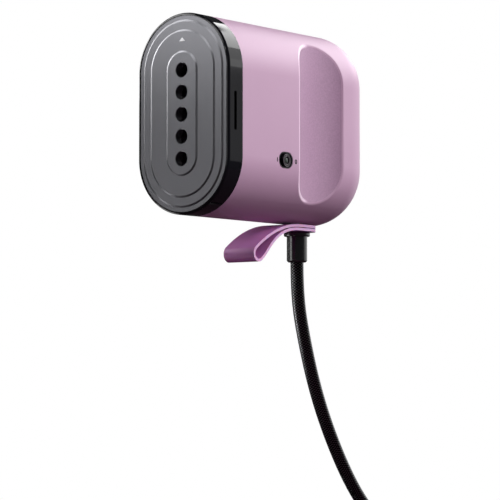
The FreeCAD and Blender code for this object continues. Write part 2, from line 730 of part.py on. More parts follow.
def shell_bosses():
    """Four chassis bosses, a seat for the bush nut and the pillar that the cord clamp screws to."""
    bosses = [rod(f"shell_boss_{k}", "dim.boss_radius", "dim.boss_length", place, "+y")
              for k, place in enumerate(boss_places(CHASSIS_SEAT), 1)]
    seat = rod("shell_nut_seat", "dim.nut_radius + 1", f"{NUT_SEAT} - {INNER_FLOOR} + 0.5",
               ("0", "dim.bush_back", f"{INNER_FLOOR} - 0.5"), "+z")
    front, rear = CLAMP_PILLAR
    pillar = box("shell_pillar",
                 ("0", f"({front} + {rear}) / 2", f"({INNER_FLOOR} - 0.2 + {CLAMP_TOP}) / 2"),
                 ("18", f"{rear} - ({front})", f"{CLAMP_TOP} - {INNER_FLOOR} + 0.2"))
    arm = box("shell_arm", ("0", f"({CORD_REAR} + {rear}) / 2", f"({CLAMP_UNDER} + {CLAMP_TOP}) / 2"),
              ("16", f"{rear} - ({CORD_REAR})", f"{CLAMP_TOP} - {CLAMP_UNDER}"))
    return [*bosses, seat, pillar, arm]


CLAMP_UNDER = f"({NUT_SEAT} + dim.nut_thick + 4.3)"
CLAMP_TOP = f"({CLAMP_UNDER} + 6)"
CLAMP_PILLAR = ("(dim.bush_back + dim.nut_radius + 1)", "(dim.bush_back + dim.nut_radius + 6)")
CORD_REAR = "(dim.bush_back + dim.cord_radius + dim.fit_gap)"
CORD_FRONT = "(dim.bush_back - dim.cord_radius - dim.fit_gap)"
CLAMP_FRONT = f"({CORD_FRONT} - 2.5)"


def clamp_screw_places():
    return [(x, CLAMP_FRONT, f"({CLAMP_UNDER} + {CLAMP_TOP}) / 2") for x in ("6", "-6")]


def shell_holes():
    """The openings for bush, switch, filler and screws."""
    bush = rod("shell_bush_hole", "dim.spindle_radius + dim.fit_gap", "10",
               ("0", "dim.bush_back", f"-{HALF_HEIGHT} - 1"), "+z")
    switch = obround("shell_switch_hole", "dim.well_length", "dim.well_height", f"{INNER_HALF} - 2",
                     "dim.shell_wall + 3")
    filler_y = "-dim.filler_forward"
    filler = rod("shell_filler_hole", "dim.filler_bore + dim.neck_wall + dim.fit_gap", "dim.shell_wall + 2",
                 (f"-{HALF_WIDTH}", filler_y, "dim.filler_height"), "+x")
    recess = rod("shell_filler_recess", "dim.bung_cap_radius + dim.run_gap", "2 * dim.bung_recess",
                 (f"-{HALF_WIDTH} - dim.bung_recess", filler_y, "dim.filler_height"), "+x")
    threads = drills("shell_threads", boss_places(CHASSIS_SEAT), SCREW_RADIUS, "14", "+y")
    clamp = drills("shell_clamp_threads", clamp_screw_places(), SCREW_RADIUS, "16", "+y")
    return [bush, switch, filler, recess, threads, clamp]


def obround(name, long_y, tall, x, length):
    """A prism along X with round ends, long in Y, at the switch."""
    middle_y, z = SWITCH_Y, SWITCH_Z
    half = f"(({long_y}) - ({tall})) / 2"
    ends = [rod(f"{name}_{end}", f"({tall}) / 2", length, (x, f"{middle_y} {sign} {half}", z), "+x")
            for end, sign in (("front", "-"), ("rear", "+"))]
    middle = box(f"{name}_middle", (f"({x}) + ({length}) / 2", middle_y, z), (length, f"2 * {half}", tall))
    return fuse(name, *ends, middle)


def make_grip_pads():
    """A thin soft skin in each scoop, flush with the scoop's face."""
    for side, sign in SIDES:
        bed = skin_bed(f"pad_{side}_bed", sign, "dim.fit_gap / 2")
        node(f"grip_pad_{side}", cut(f"pad_{side}_skin", bed, scoop(f"pad_{side}_face", sign)))


# Power switch.

def make_switch():
    """A dished bezel in the shell, a round knob that slides in it, its slider and the housing behind."""
    z = SWITCH_Z
    gap = "2 * dim.fit_gap"
    top = f"({HALF_WIDTH} - 0.2)"
    floor = f"({top} - dim.well_depth)"
    under = f"({INNER_HALF} - dim.bezel_drop)"
    flange_under = f"({under} - 1.5)"
    neck = obround("bezel_neck", f"dim.well_length - {gap}", f"dim.well_height - {gap}", under,
                   f"{top} - {under}")
    flange = box("bezel_flange", (f"({under} + {flange_under}) / 2", SWITCH_Y, z),
                 ("1.5", "17", "dim.well_height + 3.6"))
    well = obround("bezel_well", f"dim.well_length - {gap} - 2 * dim.bezel_wall",
                   f"dim.well_height - {gap} - 2 * dim.bezel_wall", floor, "dim.well_depth")
    slot = box("bezel_slot", (under, SWITCH_Y, z),
               ("6", "dim.stem_width + dim.switch_travel + 2 * dim.run_gap",
                "dim.stem_width + dim.fit_gap * 2"))
    node("switch_bezel", cut("switch_bezel_cut", fuse("bezel_blank", neck, flange), well, slot))

    knob_under = f"({floor} + 0.4)"
    slider_top = f"({flange_under} - 0.3)"
    cap = rod("knob_cap", "dim.knob_radius", "dim.knob_thick", (knob_under, KNOB_Y, z), "+x")
    dish = rod("knob_dish", "dim.knob_dish", "0.5", (f"{knob_under} + dim.knob_thick", KNOB_Y, z), "-x")
    stem = box("knob_stem", (f"({knob_under} + {slider_top}) / 2", KNOB_Y, z),
               (f"{knob_under} - {slider_top}", "dim.stem_width", "dim.stem_width"))
    node("switch_knob", fuse("switch_knob_all", cut("knob_dished", cap, dish), stem))
    node("switch_slider", box("switch_slider_block", (f"{slider_top} - 1", KNOB_Y, z), ("2", "6", "5")))
    make_switch_housing(flange_under, slider_top, z)


def make_switch_housing(top, slider_top, z):
    """The contact block behind the bezel, with a chamber for the slider and three tabs."""
    block = box("housing_block", (f"(dim.housing_reach + {top}) / 2", SWITCH_Y, z),
                (f"{top} - dim.housing_reach", "19", "11"))
    room = box("housing_room", (f"({slider_top} - 2.2 + {top}) / 2", SWITCH_Y, z),
               (f"{top} - {slider_top} + 2.2", "8 + dim.switch_travel", "5.6"))
    tabs = [box(f"housing_tab_{k}", ("dim.housing_reach - 1.5", f"{SWITCH_Y} + {offset}", z),
                ("3", "0.8", "3"))
            for k, offset in enumerate(("-5", "0", "5"), 1)]
    node("switch_housing", fuse("switch_housing_all", cut("housing_hollow", block, room), *tabs))


# Filler.

def make_filler():
    """A neck from the shell to the tank, closed by a hollow moulded bung that pulls straight out."""
    y, z = "-dim.filler_forward", "dim.filler_height"
    seat = f"(-{HALF_WIDTH} + dim.bung_recess)"
    node("filler_neck", pipe("filler_neck_tube", "dim.filler_bore + dim.neck_wall", "dim.filler_bore",
                             f"-{seat} - {SHELF_WIDTH} / 2", (seat, y, z), "+x"))
    plug = rod("bung_plug", "dim.filler_bore - 0.08", "dim.bung_length", (seat, y, z), "+x")
    cap = rod("bung_cap", "dim.bung_cap_radius", "dim.bung_cap_thick", (seat, y, z), "-x")
    ridge = box("bung_ridge", (f"{seat} - dim.bung_cap_thick - 0.4", y, z), ("0.8", "9", "1.6"))
    hollow = rod("bung_hollow", "dim.filler_bore - dim.bung_wall",
                 "dim.bung_length + dim.bung_cap_thick - dim.bung_skin",
                 (f"{seat} + dim.bung_length", y, z), "-x")
    node("filler_bung", cut("filler_bung_moulded", fuse("bung_blank", plug, cap, ridge), hollow))


# Inside the shell.

def make_chassis():
    """A front wall screwed to the shell's bosses, with a shelf that carries tank, pump and board."""
    wall = track_prism("chassis_wall", f"2 * ({INNER_HALF} - dim.chassis_margin)",
                       f"2 * (-{INNER_FLOOR} - dim.chassis_margin)", CHASSIS_FRONT, "dim.chassis_thick")
    shelf = box("chassis_shelf",
                ("0", f"({SHELF_REAR} + {CHASSIS_SEAT}) / 2", f"(dim.shelf_top + {SHELF_UNDER}) / 2"),
                (SHELF_WIDTH, f"{SHELF_REAR} - {CHASSIS_SEAT}", "dim.chassis_thick"))
    screws = drills("chassis_screw_holes", boss_places(CHASSIS_FRONT), f"{SCREW_RADIUS} + dim.fit_gap",
                    "dim.chassis_thick", "+y")
    holes = [*wall_passages("chassis", CHASSIS_FRONT, "dim.chassis_thick"),
             rod("shelf_hose_hole", "dim.hose_radius + dim.run_gap", "6",
                 ("-dim.pump_aside", HOSE_Y, SHELF_UNDER), "+z"),
             rod("shelf_spigot_hole", "dim.spigot_radius + dim.run_gap", "6",
                 ("-dim.pump_aside", OUTLET_Y, f"{SHELF_UNDER} - 1"), "+z")]
    return node("chassis", cut("chassis_cut", fuse("chassis_blank", wall, shelf), screws, *holes))


HOSE_Y = f"(({CHASSIS_SEAT} + {TANK_FRONT}) / 2)"
OUTLET_Y = f"({TANK_REAR} - 6)"
WIRE_RADIUS = 0.8


def wall_passages(owner, front, thick):
    """Where the hose and the two heater wires pass through a wall."""
    hose = rod(f"{owner}_hose_passage", "dim.hose_radius + dim.run_gap", thick,
               ("-dim.pump_aside", front, INLET_Z), "+y")
    wires = [rod(f"{owner}_wire_passage_{side}", f"{WIRE_RADIUS} + dim.run_gap", thick,
                 (f"{sign}dim.heater_spread", front, PIN_HEIGHT), "+y")
             for side, sign in SIDES]
    return [hose, *wires]


def make_heat_shield():
    """A thin sheet on the front of the chassis, holed for its screws, the hose and the wires."""
    sheet_metal = track_prism("shield_blank", FLANGE_WIDTH, FLANGE_HEIGHT,
                              SHIELD_FRONT, "dim.shield_thick")
    heads = drills("shield_head_holes", boss_places(SHIELD_FRONT), f"{SCREW_HEAD} + dim.run_gap",
                   "dim.shield_thick", "+y")
    return node("heat_shield", cut("heat_shield_cut", sheet_metal, heads,
                                   *wall_passages("shield", SHIELD_FRONT, "dim.shield_thick")))


def make_tank():
    """The water tank on the shelf, its cover, its outlet and the hole that the filler neck meets."""
    length = f"({TANK_REAR} - {TANK_FRONT})"
    middle_y = f"({TANK_REAR} + {TANK_FRONT}) / 2"
    lid_under = f"({TANK_TOP} - dim.tank_wall)"
    height = f"({lid_under} - dim.shelf_top)"
    blank = box("tank_blank", ("0", middle_y, f"(dim.shelf_top + {lid_under}) / 2"),
                (f"{SHELF_WIDTH}", length, height))
    corner = num("dim.tank_round")
    rounded = fillet("tank_rounded", blank,
                     lambda edge: (corner, corner) if abs(edge.tangentAt(0).z) > 0.9 else None)
    hollow = box("tank_hollow", ("0", middle_y, f"(dim.shelf_top + dim.tank_wall + {lid_under}) / 2"),
                 (f"{SHELF_WIDTH} - 2 * dim.tank_wall", f"{length} - 2 * dim.tank_wall",
                  f"{height} - dim.tank_wall"))
    outlet = rod("tank_outlet", "dim.spigot_radius", "dim.spigot_length + 2",
                 ("-dim.pump_aside", OUTLET_Y, "dim.shelf_top"), "-z")
    bore = rod("tank_outlet_bore", "dim.spigot_bore", "20",
               ("-dim.pump_aside", OUTLET_Y, "dim.shelf_top + 5"), "-z")
    filler = rod("tank_filler_hole", "dim.filler_bore", "6",
                 (f"-{SHELF_WIDTH} / 2 - 1", "-dim.filler_forward", "dim.filler_height"), "+x")
    node("water_tank", cut("water_tank_cut", fuse("tank_all", rounded, outlet), hollow, bore, filler))
    lid = box("tank_cover_lid", ("0", middle_y, f"({TANK_TOP} + {lid_under}) / 2"),
              (f"{SHELF_WIDTH} - 2 * dim.tank_wall", f"{length} - 2 * dim.tank_wall", "dim.tank_wall"))
    rib = box("tank_cover_rib", ("0", middle_y, f"{lid_under} - 1.5"),
              (f"{SHELF_WIDTH} - 2 * dim.tank_wall - 1", "1.6", "3"))
    rim = box("tank_cover_rim", ("0", middle_y, f"{TANK_TOP} - dim.tank_wall / 2"),
              (f"{SHELF_WIDTH} - 2 * dim.tank_round", f"{length} - 2 * dim.fit_gap", "dim.tank_wall"))
    node("tank_cover", fuse("tank_cover_all", lid, rib, rim))


def make_pump():
    """A solenoid pump under the shelf: coil, bracket, barrel, plunger and return spring."""
    x, z = "-dim.pump_aside", "-dim.pump_drop"
    node("pump_coil",
         pipe("pump_coil_tube", "dim.coil_radius", "dim.barrel_radius + dim.fit_gap", "dim.coil_length",
                           (x, "-dim.pump_front", z), "+y"))
    span = "(dim.coil_length + 2 * dim.bracket_thick)"
    middle_y = f"(-dim.pump_front + {PUMP_REAR}) / 2"
    under = "(-dim.pump_drop - dim.coil_radius)"
    shell = box("bracket_blank", (x, middle_y, f"({SHELF_UNDER} + {under}) / 2"),
                ("20", span, f"{SHELF_UNDER} - {under}"))
    room = box("bracket_room", (x, middle_y, f"({SHELF_UNDER} + {under}) / 2 - dim.bracket_thick"),
               ("20", "dim.coil_length", f"{SHELF_UNDER} - {under}"))
    hole = rod("bracket_hole", "dim.barrel_radius + dim.fit_gap", span,
               (x, "-dim.pump_front - dim.bracket_thick", z), "+y")
    node("pump_bracket", cut("pump_bracket_cut", shell, room, hole))

    length = f"({BARREL_REAR} - {BARREL_FRONT})"
    barrel = rod("barrel_wall", "dim.barrel_radius", length, (x, BARREL_FRONT, z), "+y")
    spigots = [rod("barrel_outlet", "dim.spigot_radius", "dim.spigot_length", (x, BARREL_FRONT, z), "-y"),
               rod("barrel_inlet", "dim.spigot_radius", "dim.spigot_length", (x, BARREL_REAR, z), "+y")]
    bore = rod("barrel_bore", "dim.barrel_bore", "dim.plunger_length + dim.spring_length",
               (x, PLUNGER_FRONT, z), "+y")
    passage = rod("barrel_passage", "dim.spigot_bore", "80", (x, f"{BARREL_FRONT} - 20", z), "+y")
    node("pump_barrel", cut("pump_barrel_cut", fuse("barrel_all", barrel, *spigots), bore, passage))
    node("pump_plunger", rod("pump_plunger_rod", "dim.barrel_bore - dim.plunger_gap", "dim.plunger_length",
                             (x, PLUNGER_FRONT, z), "+y"))
    make_spring(x, PLUNGER_REAR, z)


def make_spring(x, start, z):
    """A coiled return spring between the plunger and the barrel's rear end."""
    wire_radius = num("dim.spring_wire")
    length = num("dim.spring_length") - 2 * wire_radius
    radius = num("dim.spring_radius")
    path = Part.makeHelix(length / num("dim.spring_turns"), length, radius)
    circle = Part.Wire(Part.makeCircle(wire_radius, Vector(radius, 0, 0), Vector(0, 1, 0)))
    item = doc.addObject("Part::Feature", "pump_spring_wire")
    item.Shape = Part.Wire(path).makePipeShell([circle], True, True)
    put(item, (x, f"{start} + dim.spring_wire", z), ALONG["+y"])
    return node("pump_spring", item)


def hose(name, points):
    """A hollow hose with round bends."""
    wire, _ = rounded_route(points, num("dim.hose_bend"))
    wall = along_route(wire, num("dim.hose_radius"))
    bore = along_route(wire, num("dim.spigot_radius + dim.fit_gap / 2"))
    return node(name, route_feature(name + "_tube", wall.cut(bore)))


def make_hoses():
    """Suction hose from the tank to the pump, pressure hose from the pump to the chamber."""
    x, z = "-dim.pump_aside", "-dim.pump_drop"
    hose("suction_hose",
         [spot(x, f"{BARREL_REAR} + 0.5", z), spot(x, OUTLET_Y, z),
          spot(x, OUTLET_Y, f"{SHELF_UNDER} - 0.3")])
    hose("pressure_hose",
         [spot(x, f"{BARREL_FRONT} - 0.5", z), spot(x, HOSE_Y, z), spot(x, HOSE_Y, INLET_Z),
                           spot(x, f"{CHAMBER_REAR} + 0.5", INLET_Z)])


def make_board():
    """The control board on the end of the shelf, its parts, and the terminal block under the shelf."""
    front = SHELF_REAR
    node("control_board", box("control_board_plate", ("0", f"{front} + dim.board_thick / 2", "0"),
                              (f"{SHELF_WIDTH} - 1", "dim.board_thick",
                               "dim.body_height - 2 * dim.board_headroom")))
    relay = box("board_relay", ("-6", f"{front} - 4", "14"), ("12", "8", "16"))
    capacitor = rod("board_capacitor", "4", "9", ("9", front, "14"), "-y")
    triac = box("board_triac", ("9", f"{front} - 1.5", "-20"), ("8", "3", "12"))
    group = doc.addObject("Part::Compound", "board_parts_group")
    group.Links = [relay, capacitor, triac]
    node("board_parts", group)
    node("terminal_block",
         box("terminal_block_body", ("0", f"{front} - 6", f"{SHELF_UNDER} - 7"), ("20", "12", "14")))


def make_wiring():
    """Five insulated wires: cord to block, twice, block to switch, switch to heater and block to heater."""
    foot = CORD_TAIL_TOP
    block_y, block_front = f"{SHELF_REAR} - 7", f"{SHELF_REAR} - 12"
    block_under = f"{SHELF_UNDER} - 14"
    pin_z, pin_y = PIN_HEIGHT, f"{CHAMBER_REAR} + dim.pin_reach"
    tab_x, tab_z = "dim.housing_reach - 3 - 0.8", SWITCH_Z
    wall_y = f"{CHASSIS_SEAT} + 5"
    routes = [
        *[[(x, "dim.bush_back", foot), (x, "dim.bush_back", f"{foot} + 8"), (x, block_y, f"{foot} + 8"),
           (x, block_y, block_under)]
          for x in ("1.5", "-1.5")],
        [("7", block_front, "-8"), ("7", "21", "-8"), ("12.5", "6", "-10"), ("13", "-14", "-15"),
         (tab_x, f"{SWITCH_Y} + 5", tab_z)],
        [(tab_x, f"{SWITCH_Y} - 5", tab_z), ("dim.heater_spread", wall_y, pin_z),
         ("dim.heater_spread", pin_y, pin_z)],
        [("-8.5", block_front, "-8"), ("-8.5", "22", "-8"), ("-16.5", "8", "-13"), ("-16.5", "-20", "-20"),
         ("-dim.heater_spread", wall_y, pin_z), ("-dim.heater_spread", pin_y, pin_z)],
    ]
    wires = []
    for route in routes:
        wire, _ = rounded_route([spot(*place) for place in route], 2.5)
        wires.append(along_route(wire, WIRE_RADIUS))
    return node("wiring", route_feature("wiring_all", Part.makeCompound(wires)))


CORD_TAIL_TOP = f"({CLAMP_TOP} + 6)"


# Cord entry.

def make_bush():
    """The turned bush: collar, neck and threaded spindle, bored for the cord. Its nut is in the shell."""
    owner = doc.addObject("PartDesign::Body", "bush_turned")
    profile = sketch(owner, "XZ_Plane", "bush_profile")
    spindle_top = f"({NUT_SEAT} + dim.nut_thick + 1.2)"
    corners = [("dim.cord_radius + dim.cord_gap", NECK_END), ("dim.neck_radius", NECK_END),
               ("dim.neck_radius", NECK_TOP), ("dim.collar_radius", NECK_TOP),
               ("dim.collar_radius", COLLAR_TOP),
               ("dim.spindle_radius", COLLAR_TOP), ("dim.spindle_radius", spindle_top),
               ("dim.cord_radius + dim.cord_gap", spindle_top)]
    places = [Vector(num(radius), num(height), 0) for radius, height in corners]
    for number, (start, end) in enumerate(zip(places, places[1:] + places[:1])):
        profile.addGeometry(Part.LineSegment(start, end))
        profile.addConstraint(Sketcher.Constraint("Vertical" if number % 2 else "Horizontal", number))
    for number in range(len(places)):
        profile.addConstraint(Sketcher.Constraint("Coincident", number, 2, (number + 1) % len(places), 1))
    for corner in (0, 1, 3, 5):
        bind(profile, Sketcher.Constraint("DistanceX", -1, 1, corner, 1, places[corner].x),
             corners[corner][0])
    for corner in (0, 2, 4, 6):
        bind(profile, Sketcher.Constraint("DistanceY", corner, 1, -1, 1, -places[corner].y),
             f"-({corners[corner][1]})")
    turned = owner.newObject("PartDesign::Revolution", "bush_turning")
    turned.Profile = profile
    turned.ReferenceAxis = (profile, ["V_Axis"])
    turned.Angle = 360
    doc.recompute()
    collar = [num("dim.collar_radius"), (num(NECK_TOP), num(COLLAR_TOP))]
    edges = edges_at(turned.Shape,
                     lambda e: ring_edge(e, collar[0]) and near_any(e.CenterOfMass.z, collar[1]))
    rounded = round_off(owner, "collar_round", turned, edges, "dim.collar_edge")
    doc.recompute()
    neck, end = num("dim.neck_radius"), num(NECK_END)
    edges = edges_at(rounded.Shape, lambda e: ring_edge(e, neck) and near_any(e.CenterOfMass.z, (end,)))
    round_off(owner, "neck_chamfer", rounded, edges, "dim.neck_edge", "Chamfer")
    put(owner, ("0", "dim.bush_back", "0"))
    node("cord_bush", owner)
    hexagon = doc.addObject("Part::Prism", "nut_hexagon")
    hexagon.Polygon = 6
    hexagon.setExpression("Circumradius", "dim.nut_radius")
    hexagon.setExpression("Height", "dim.nut_thick")
    put(hexagon, ("0", "dim.bush_back", NUT_SEAT))
    thread = rod("nut_thread", "dim.spindle_radius + 0.05", "dim.nut_thick",
                 ("0", "dim.bush_back", NUT_SEAT), "+z")
    node("bush_nut", cut("bush_nut_cut", hexagon, thread))


def ring_edge(edge, radius):
    return hasattr(edge.Curve, "Radius") and abs(edge.Curve.Radius - radius) < 1e-6


def near_any(value, targets):
    return any(abs(value - target) < 1e-6 for target in targets)


def make_cord_anchor():
    """The cord's end inside the body and the clamp that holds it to the shell's pillar."""
    node("cord_tail", rod("cord_tail_rod", "dim.cord_radius", f"{CORD_TAIL_TOP} - {NECK_END}",
                          ("0", "dim.bush_back", NECK_END), "+z"))
    clamp = box("clamp_bar",
                ("0", f"({CLAMP_FRONT} + {CORD_FRONT}) / 2", f"({CLAMP_UNDER} + {CLAMP_TOP}) / 2"),
                ("16", f"{CORD_FRONT} - {CLAMP_FRONT}", f"{CLAMP_TOP} - {CLAMP_UNDER}"))
    holes = drills("clamp_holes", clamp_screw_places(), f"{SCREW_RADIUS} + dim.fit_gap", "3", "+y")
    node("cord_clamp", cut("cord_clamp_cut", clamp, holes))


# Strap.

LEG_STEPS = 16


def strap_outline(shift):
    """The strap's line from the side, moved left by shift: out from the bush, round the nose and back."""
    fall, rise = math.radians(num("dim.strap_fall")), math.radians(num("dim.strap_rise"))
    nose = Vector(0, -num("dim.strap_nose_reach"), -num("dim.body_height / 2 + dim.strap_nose_drop"))
    radius = num("dim.strap_nose_round")
    forward, back = Vector(0, -1, 0), Vector(0, 1, 0)
    down = Vector(0, -math.cos(fall), -math.sin(fall))
    up = Vector(0, math.cos(rise), math.sin(rise))
    nose_in, nose_out = nose - left_of(down) * radius, nose - left_of(up) * radius
    upper = spot("0", "-dim.strap_upper_flat", f"{STRAP_TOP} - dim.strap_thick / 2")
    lower = spot("0", "-dim.strap_lower_flat", f"{STRAP_UNDER} + dim.strap_thick / 2")
    end = num("dim.strap_width") / 2
    tip = nose + (down - up).normalize() * (radius - shift)
    upper_leg = leg(upper, forward, "dim.strap_upper_pull", nose_in, down, "dim.strap_fall_pull", shift)
    lower_leg = leg(nose_out, up, "dim.strap_rise_pull", lower, back, "dim.strap_lower_pull", shift)
    return [
        flat_end(upper, forward, end, shift),
        upper_leg,
        Part.Arc(upper_leg.Vertexes[-1].Point, tip, lower_leg.Vertexes[0].Point).toShape(),
        lower_leg,
        flat_end(lower, back, end, shift),
    ]


def leg(start, heading, start_pull, end, arrival, end_pull, shift):
    """A smooth line that leaves on one heading and arrives on another, moved left by shift."""
    curve = Part.BezierCurve()
    curve.setPoles([start, start + heading * num(start_pull), end - arrival * num(end_pull), end])
    shares = [step / LEG_STEPS for step in range(LEG_STEPS + 1)]
    places = [curve.value(share) + left_of(curve.tangent(share)[0]) * shift for share in shares]
    line = Part.BSplineCurve()
    line.interpolate(Points=places, InitialTangent=heading, FinalTangent=arrival)
    return line.toShape()


def flat_end(place, heading, end, shift):
    """The straight run between the strap's end and the place where it starts to bend."""
    level_end = Vector(0, end, place.z)
    runs = [level_end, place] if heading.y < 0 else [place, level_end]
    return Part.LineSegment(*[run + left_of(heading) * shift for run in runs]).toShape()


def left_of(heading):
    """The direction to the left of a heading in the YZ plane."""
    return Vector(0, -heading.z, heading.y)


def make_strap():
    """A moulded ribbon: one end over the other round the bush, and a hanging loop between them."""
    half = num("dim.strap_thick") / 2
    one, other = strap_outline(half), strap_outline(-half)
    caps = [Part.LineSegment(one[k].Vertexes[v].Point, other[k].Vertexes[v].Point).toShape()
            for k, v in ((0, 0), (-1, -1))]
    outline = Part.Wire(Part.__sortEdges__([*one, *other, *caps]))
    width = num("dim.strap_width")
    ribbon = Part.Face(outline).extrude(Vector(width, 0, 0))
    ribbon.translate(Vector(-width / 2, 0, 0))
    deep = num("dim.strap_nose_drop") + 4 * num("dim.strap_nose_round")
    plan = Part.makeCylinder(width / 2, deep, Vector(0, 0, num(STRAP_TOP) - deep))
    reach = 2 * num("dim.strap_nose_reach")
    plan = plan.fuse(Part.makeBox(width, reach, deep, Vector(-width / 2, -reach, num(STRAP_TOP) - deep)))
    hole = Part.makeCylinder(num("dim.spindle_radius + dim.run_gap"), deep,
                             Vector(0, 0, num(STRAP_TOP) - deep))
    item = doc.addObject("Part::Feature", "strap_ribbon")
    item.Shape = ribbon.common(plan).cut(hole)
    return node("wrist_strap", put(item, ("0", "dim.bush_back", "0")))


# Mains cord. Its points, chosen by hand: it leaves the bush, bows to the rear and settles on its coil.

HANGING = [(0, 18.3, -92), (0, 25, -117), (0, 36, -146), (0, 52, -174), (0, 71, -199), (0, 90, -216),
           (-1.5, 113, -224.5)]
COIL_ENTRY = 55                  # degrees round the coil
COIL_EXIT = 185
LEAD_SPOT = (-71.5, 68)          # where the lead turns from the coil to the plug
LEAD_LIFT = 0.6
PLUG_SPOT = (-60.4, 42.5)


def coil_spot(degrees, radius, height):
    """A point on the coil's turns."""
    angle = math.radians(degrees)
    centre = spot("-dim.coil_aside", "dim.coil_back", height)
    return centre + Vector(math.cos(angle), math.sin(angle), 0) * radius


def plug_mouth():
    """The open end of the plug's strain relief and the direction in which the cord enters."""
    turn = math.radians(num("dim.plug_turn"))
    height = num("-dim.floor_drop + dim.plug_thick / 2")
    return Vector(*PLUG_SPOT, height), Vector(math.sin(turn), -math.cos(turn), 0)


def cord_bar(name, points):
    """A stretch of the mains cord. Prints its arcs and how its volume compares with its length."""
    wire, radii = rounded_route(points)
    solid = along_route(wire, num("dim.cord_radius"))
    ratio = solid.Volume / (math.pi * num("dim.cord_radius") ** 2 * wire.Length)
    print(name, "length", round(wire.Length, 1), "radii", [round(radius, 1) for radius in radii], "ratio",
          round(ratio, 4))
    return node(name, route_feature(name + "_bar", solid))


def make_cord():
    """The cord hangs from the bush, bows to the rear and runs onto its coil. A lead goes on to the plug."""
    start = spot("0", "dim.bush_back", NECK_END)
    top = f"{COIL_FLOOR} + {COIL_HEIGHT} - dim.cord_radius"
    end = coil_spot(COIL_ENTRY, num("dim.coil_middle"), top)
    cord_bar("power_cord", [start, *[Vector(*place) for place in HANGING], end])
    mouth, inward = plug_mouth()
    low = f"{COIL_FLOOR} + dim.cord_radius"
    outer_lane = num(f"{COIL_OUTER} - dim.cord_radius")
    lift = Vector(0, 0, LEAD_LIFT)
    cord_bar("plug_lead", [coil_spot(COIL_EXIT, outer_lane, low), Vector(*LEAD_SPOT, num(low)) + lift, mouth,
                           mouth + inward * num("dim.relief_bore_depth")])


def make_cord_coil():
    """The outer shape of the tied coil: a ring with rounded edges."""
    ring = pipe("coil_ring", COIL_OUTER, COIL_INNER, COIL_HEIGHT,
                ("-dim.coil_aside", "dim.coil_back", COIL_FLOOR), "+z")
    radius = num("dim.cord_radius")
    return node("cord_coil", fillet("coil_rounded", ring,
                                    lambda edge: (radius, radius) if len(edge.Vertexes) == 1 else None))


def make_coil_tie():
    """A flat tie round the bundle, on the side away from the body."""
    near = f"(sqrt({COIL_INNER} * {COIL_INNER} - dim.tie_width * dim.tie_width / 4) - dim.run_gap)"
    far = f"({COIL_OUTER} + dim.run_gap)"
    middle = ("-dim.coil_aside", f"dim.coil_back + ({near} + {far}) / 2",
              f"{COIL_FLOOR} + {COIL_HEIGHT} / 2")
    outer = box("tie_outer", middle, ("dim.tie_width", f"{far} - {near} + 2 * dim.tie_thick",
                                      f"{COIL_HEIGHT} + 2 * dim.tie_thick"))
    inner = box("tie_inner", middle, ("dim.tie_width", f"{far} - {near}", COIL_HEIGHT))
    return node("coil_tie", cut("coil_tie_cut", outer, inner))


def make_plug():
    """A flat two-pin plug lying on the floor: a face block, a taper, a strain relief and round pins."""
    turn = Rotation(Vector(0, 0, 1), num("dim.plug_turn"))
    mouth, inward = plug_mouth()
    tip = "dim.relief_length + dim.plug_taper_length + dim.plug_face_length"
    owner = doc.addObject("PartDesign::Body", "plug_moulded")
    back = "dim.relief_length + dim.plug_taper_length"
    face = flat_track(owner, "plug_outline", f"{back}")
    pad(owner, "plug_block", face, "dim.plug_face_length", rearward=False)
    doc.recompute()
    shoulder = flat_track(owner, "plug_shoulder", f"{back}")
    waist = ring_sketch(owner, "plug_waist", "dim.plug_relief_radius", "dim.relief_length")
    taper = owner.newObject("PartDesign::AdditiveLoft", "plug_taper")
    taper.Profile = shoulder
    taper.Sections = [waist]
    doc.recompute()
    foot = ring_sketch(owner, "relief_foot", "dim.plug_relief_radius", "dim.relief_length")
    end = ring_sketch(owner, "relief_tip_ring", "dim.relief_tip", "0")
    relief = owner.newObject("PartDesign::AdditiveLoft", "plug_relief")
    relief.Profile = foot
    relief.Sections = [end]
    doc.recompute()
    mouth_ring = ring_sketch(owner, "relief_mouth", "dim.cord_radius + dim.cord_gap", "0")
    bore = owner.newObject("PartDesign::Pocket", "relief_bore")
    bore.Profile = mouth_ring
    bore.Reversed = True
    bore.setExpression("Length", "dim.relief_bore_depth + 0.2")
    owner.Placement = Placement(mouth, turn)
    node("plug_body", owner)
    reach = num(tip)
    pins = []
    for number, side in enumerate((-1, 1), 1):
        across = turn.multVec(Vector(side * num("dim.pin_spacing") / 2, 0, 0))
        pin = doc.addObject("Part::Cylinder", f"plug_pin_{number}")
        pin.setExpression("Radius", "dim.pin_shank")
        pin.setExpression("Height", "dim.pin_length")
        pin.Placement = Placement(mouth + inward * reach + across, turn.multiply(ALONG["-y"]))
        tip_distance = reach + num("dim.pin_length") - 1
        radius = num("dim.pin_shank / 2")
        pins.append(fillet(f"plug_pin_{number}_rounded", pin, lambda edge: (radius, radius) if (
            edge.CenterOfMass - mouth).dot(inward) > tip_distance else None))
    group = doc.addObject("Part::Compound", "plug_pin_pair")
    group.Links = pins
    node("plug_pins", group)


def flat_track(owner, name, offset):
    """The plug's outline, wider than tall, on its own axis."""
    made = racetrack(sketch(owner, "XZ_Plane", name, offset), "dim.plug_thick", "dim.plug_width")
    made.AttachmentOffset = Placement(Vector(), Rotation(Vector(0, 0, 1), 90))
    made.setExpression("AttachmentOffset.Base.z", offset)
    return made


def ring_sketch(owner, name, radius, offset):
    """A circle on the plug's axis."""
    made = sketch(owner, "XZ_Plane", name, offset)
    made.addGeometry(Part.Circle(Vector(), Vector(0, 0, 1), num(radius)))
    made.addConstraint(Sketcher.Constraint("Coincident", 0, 3, -1, 1))
    bind(made, Sketcher.Constraint("Radius", 0, num(radius)), radius)
    return made


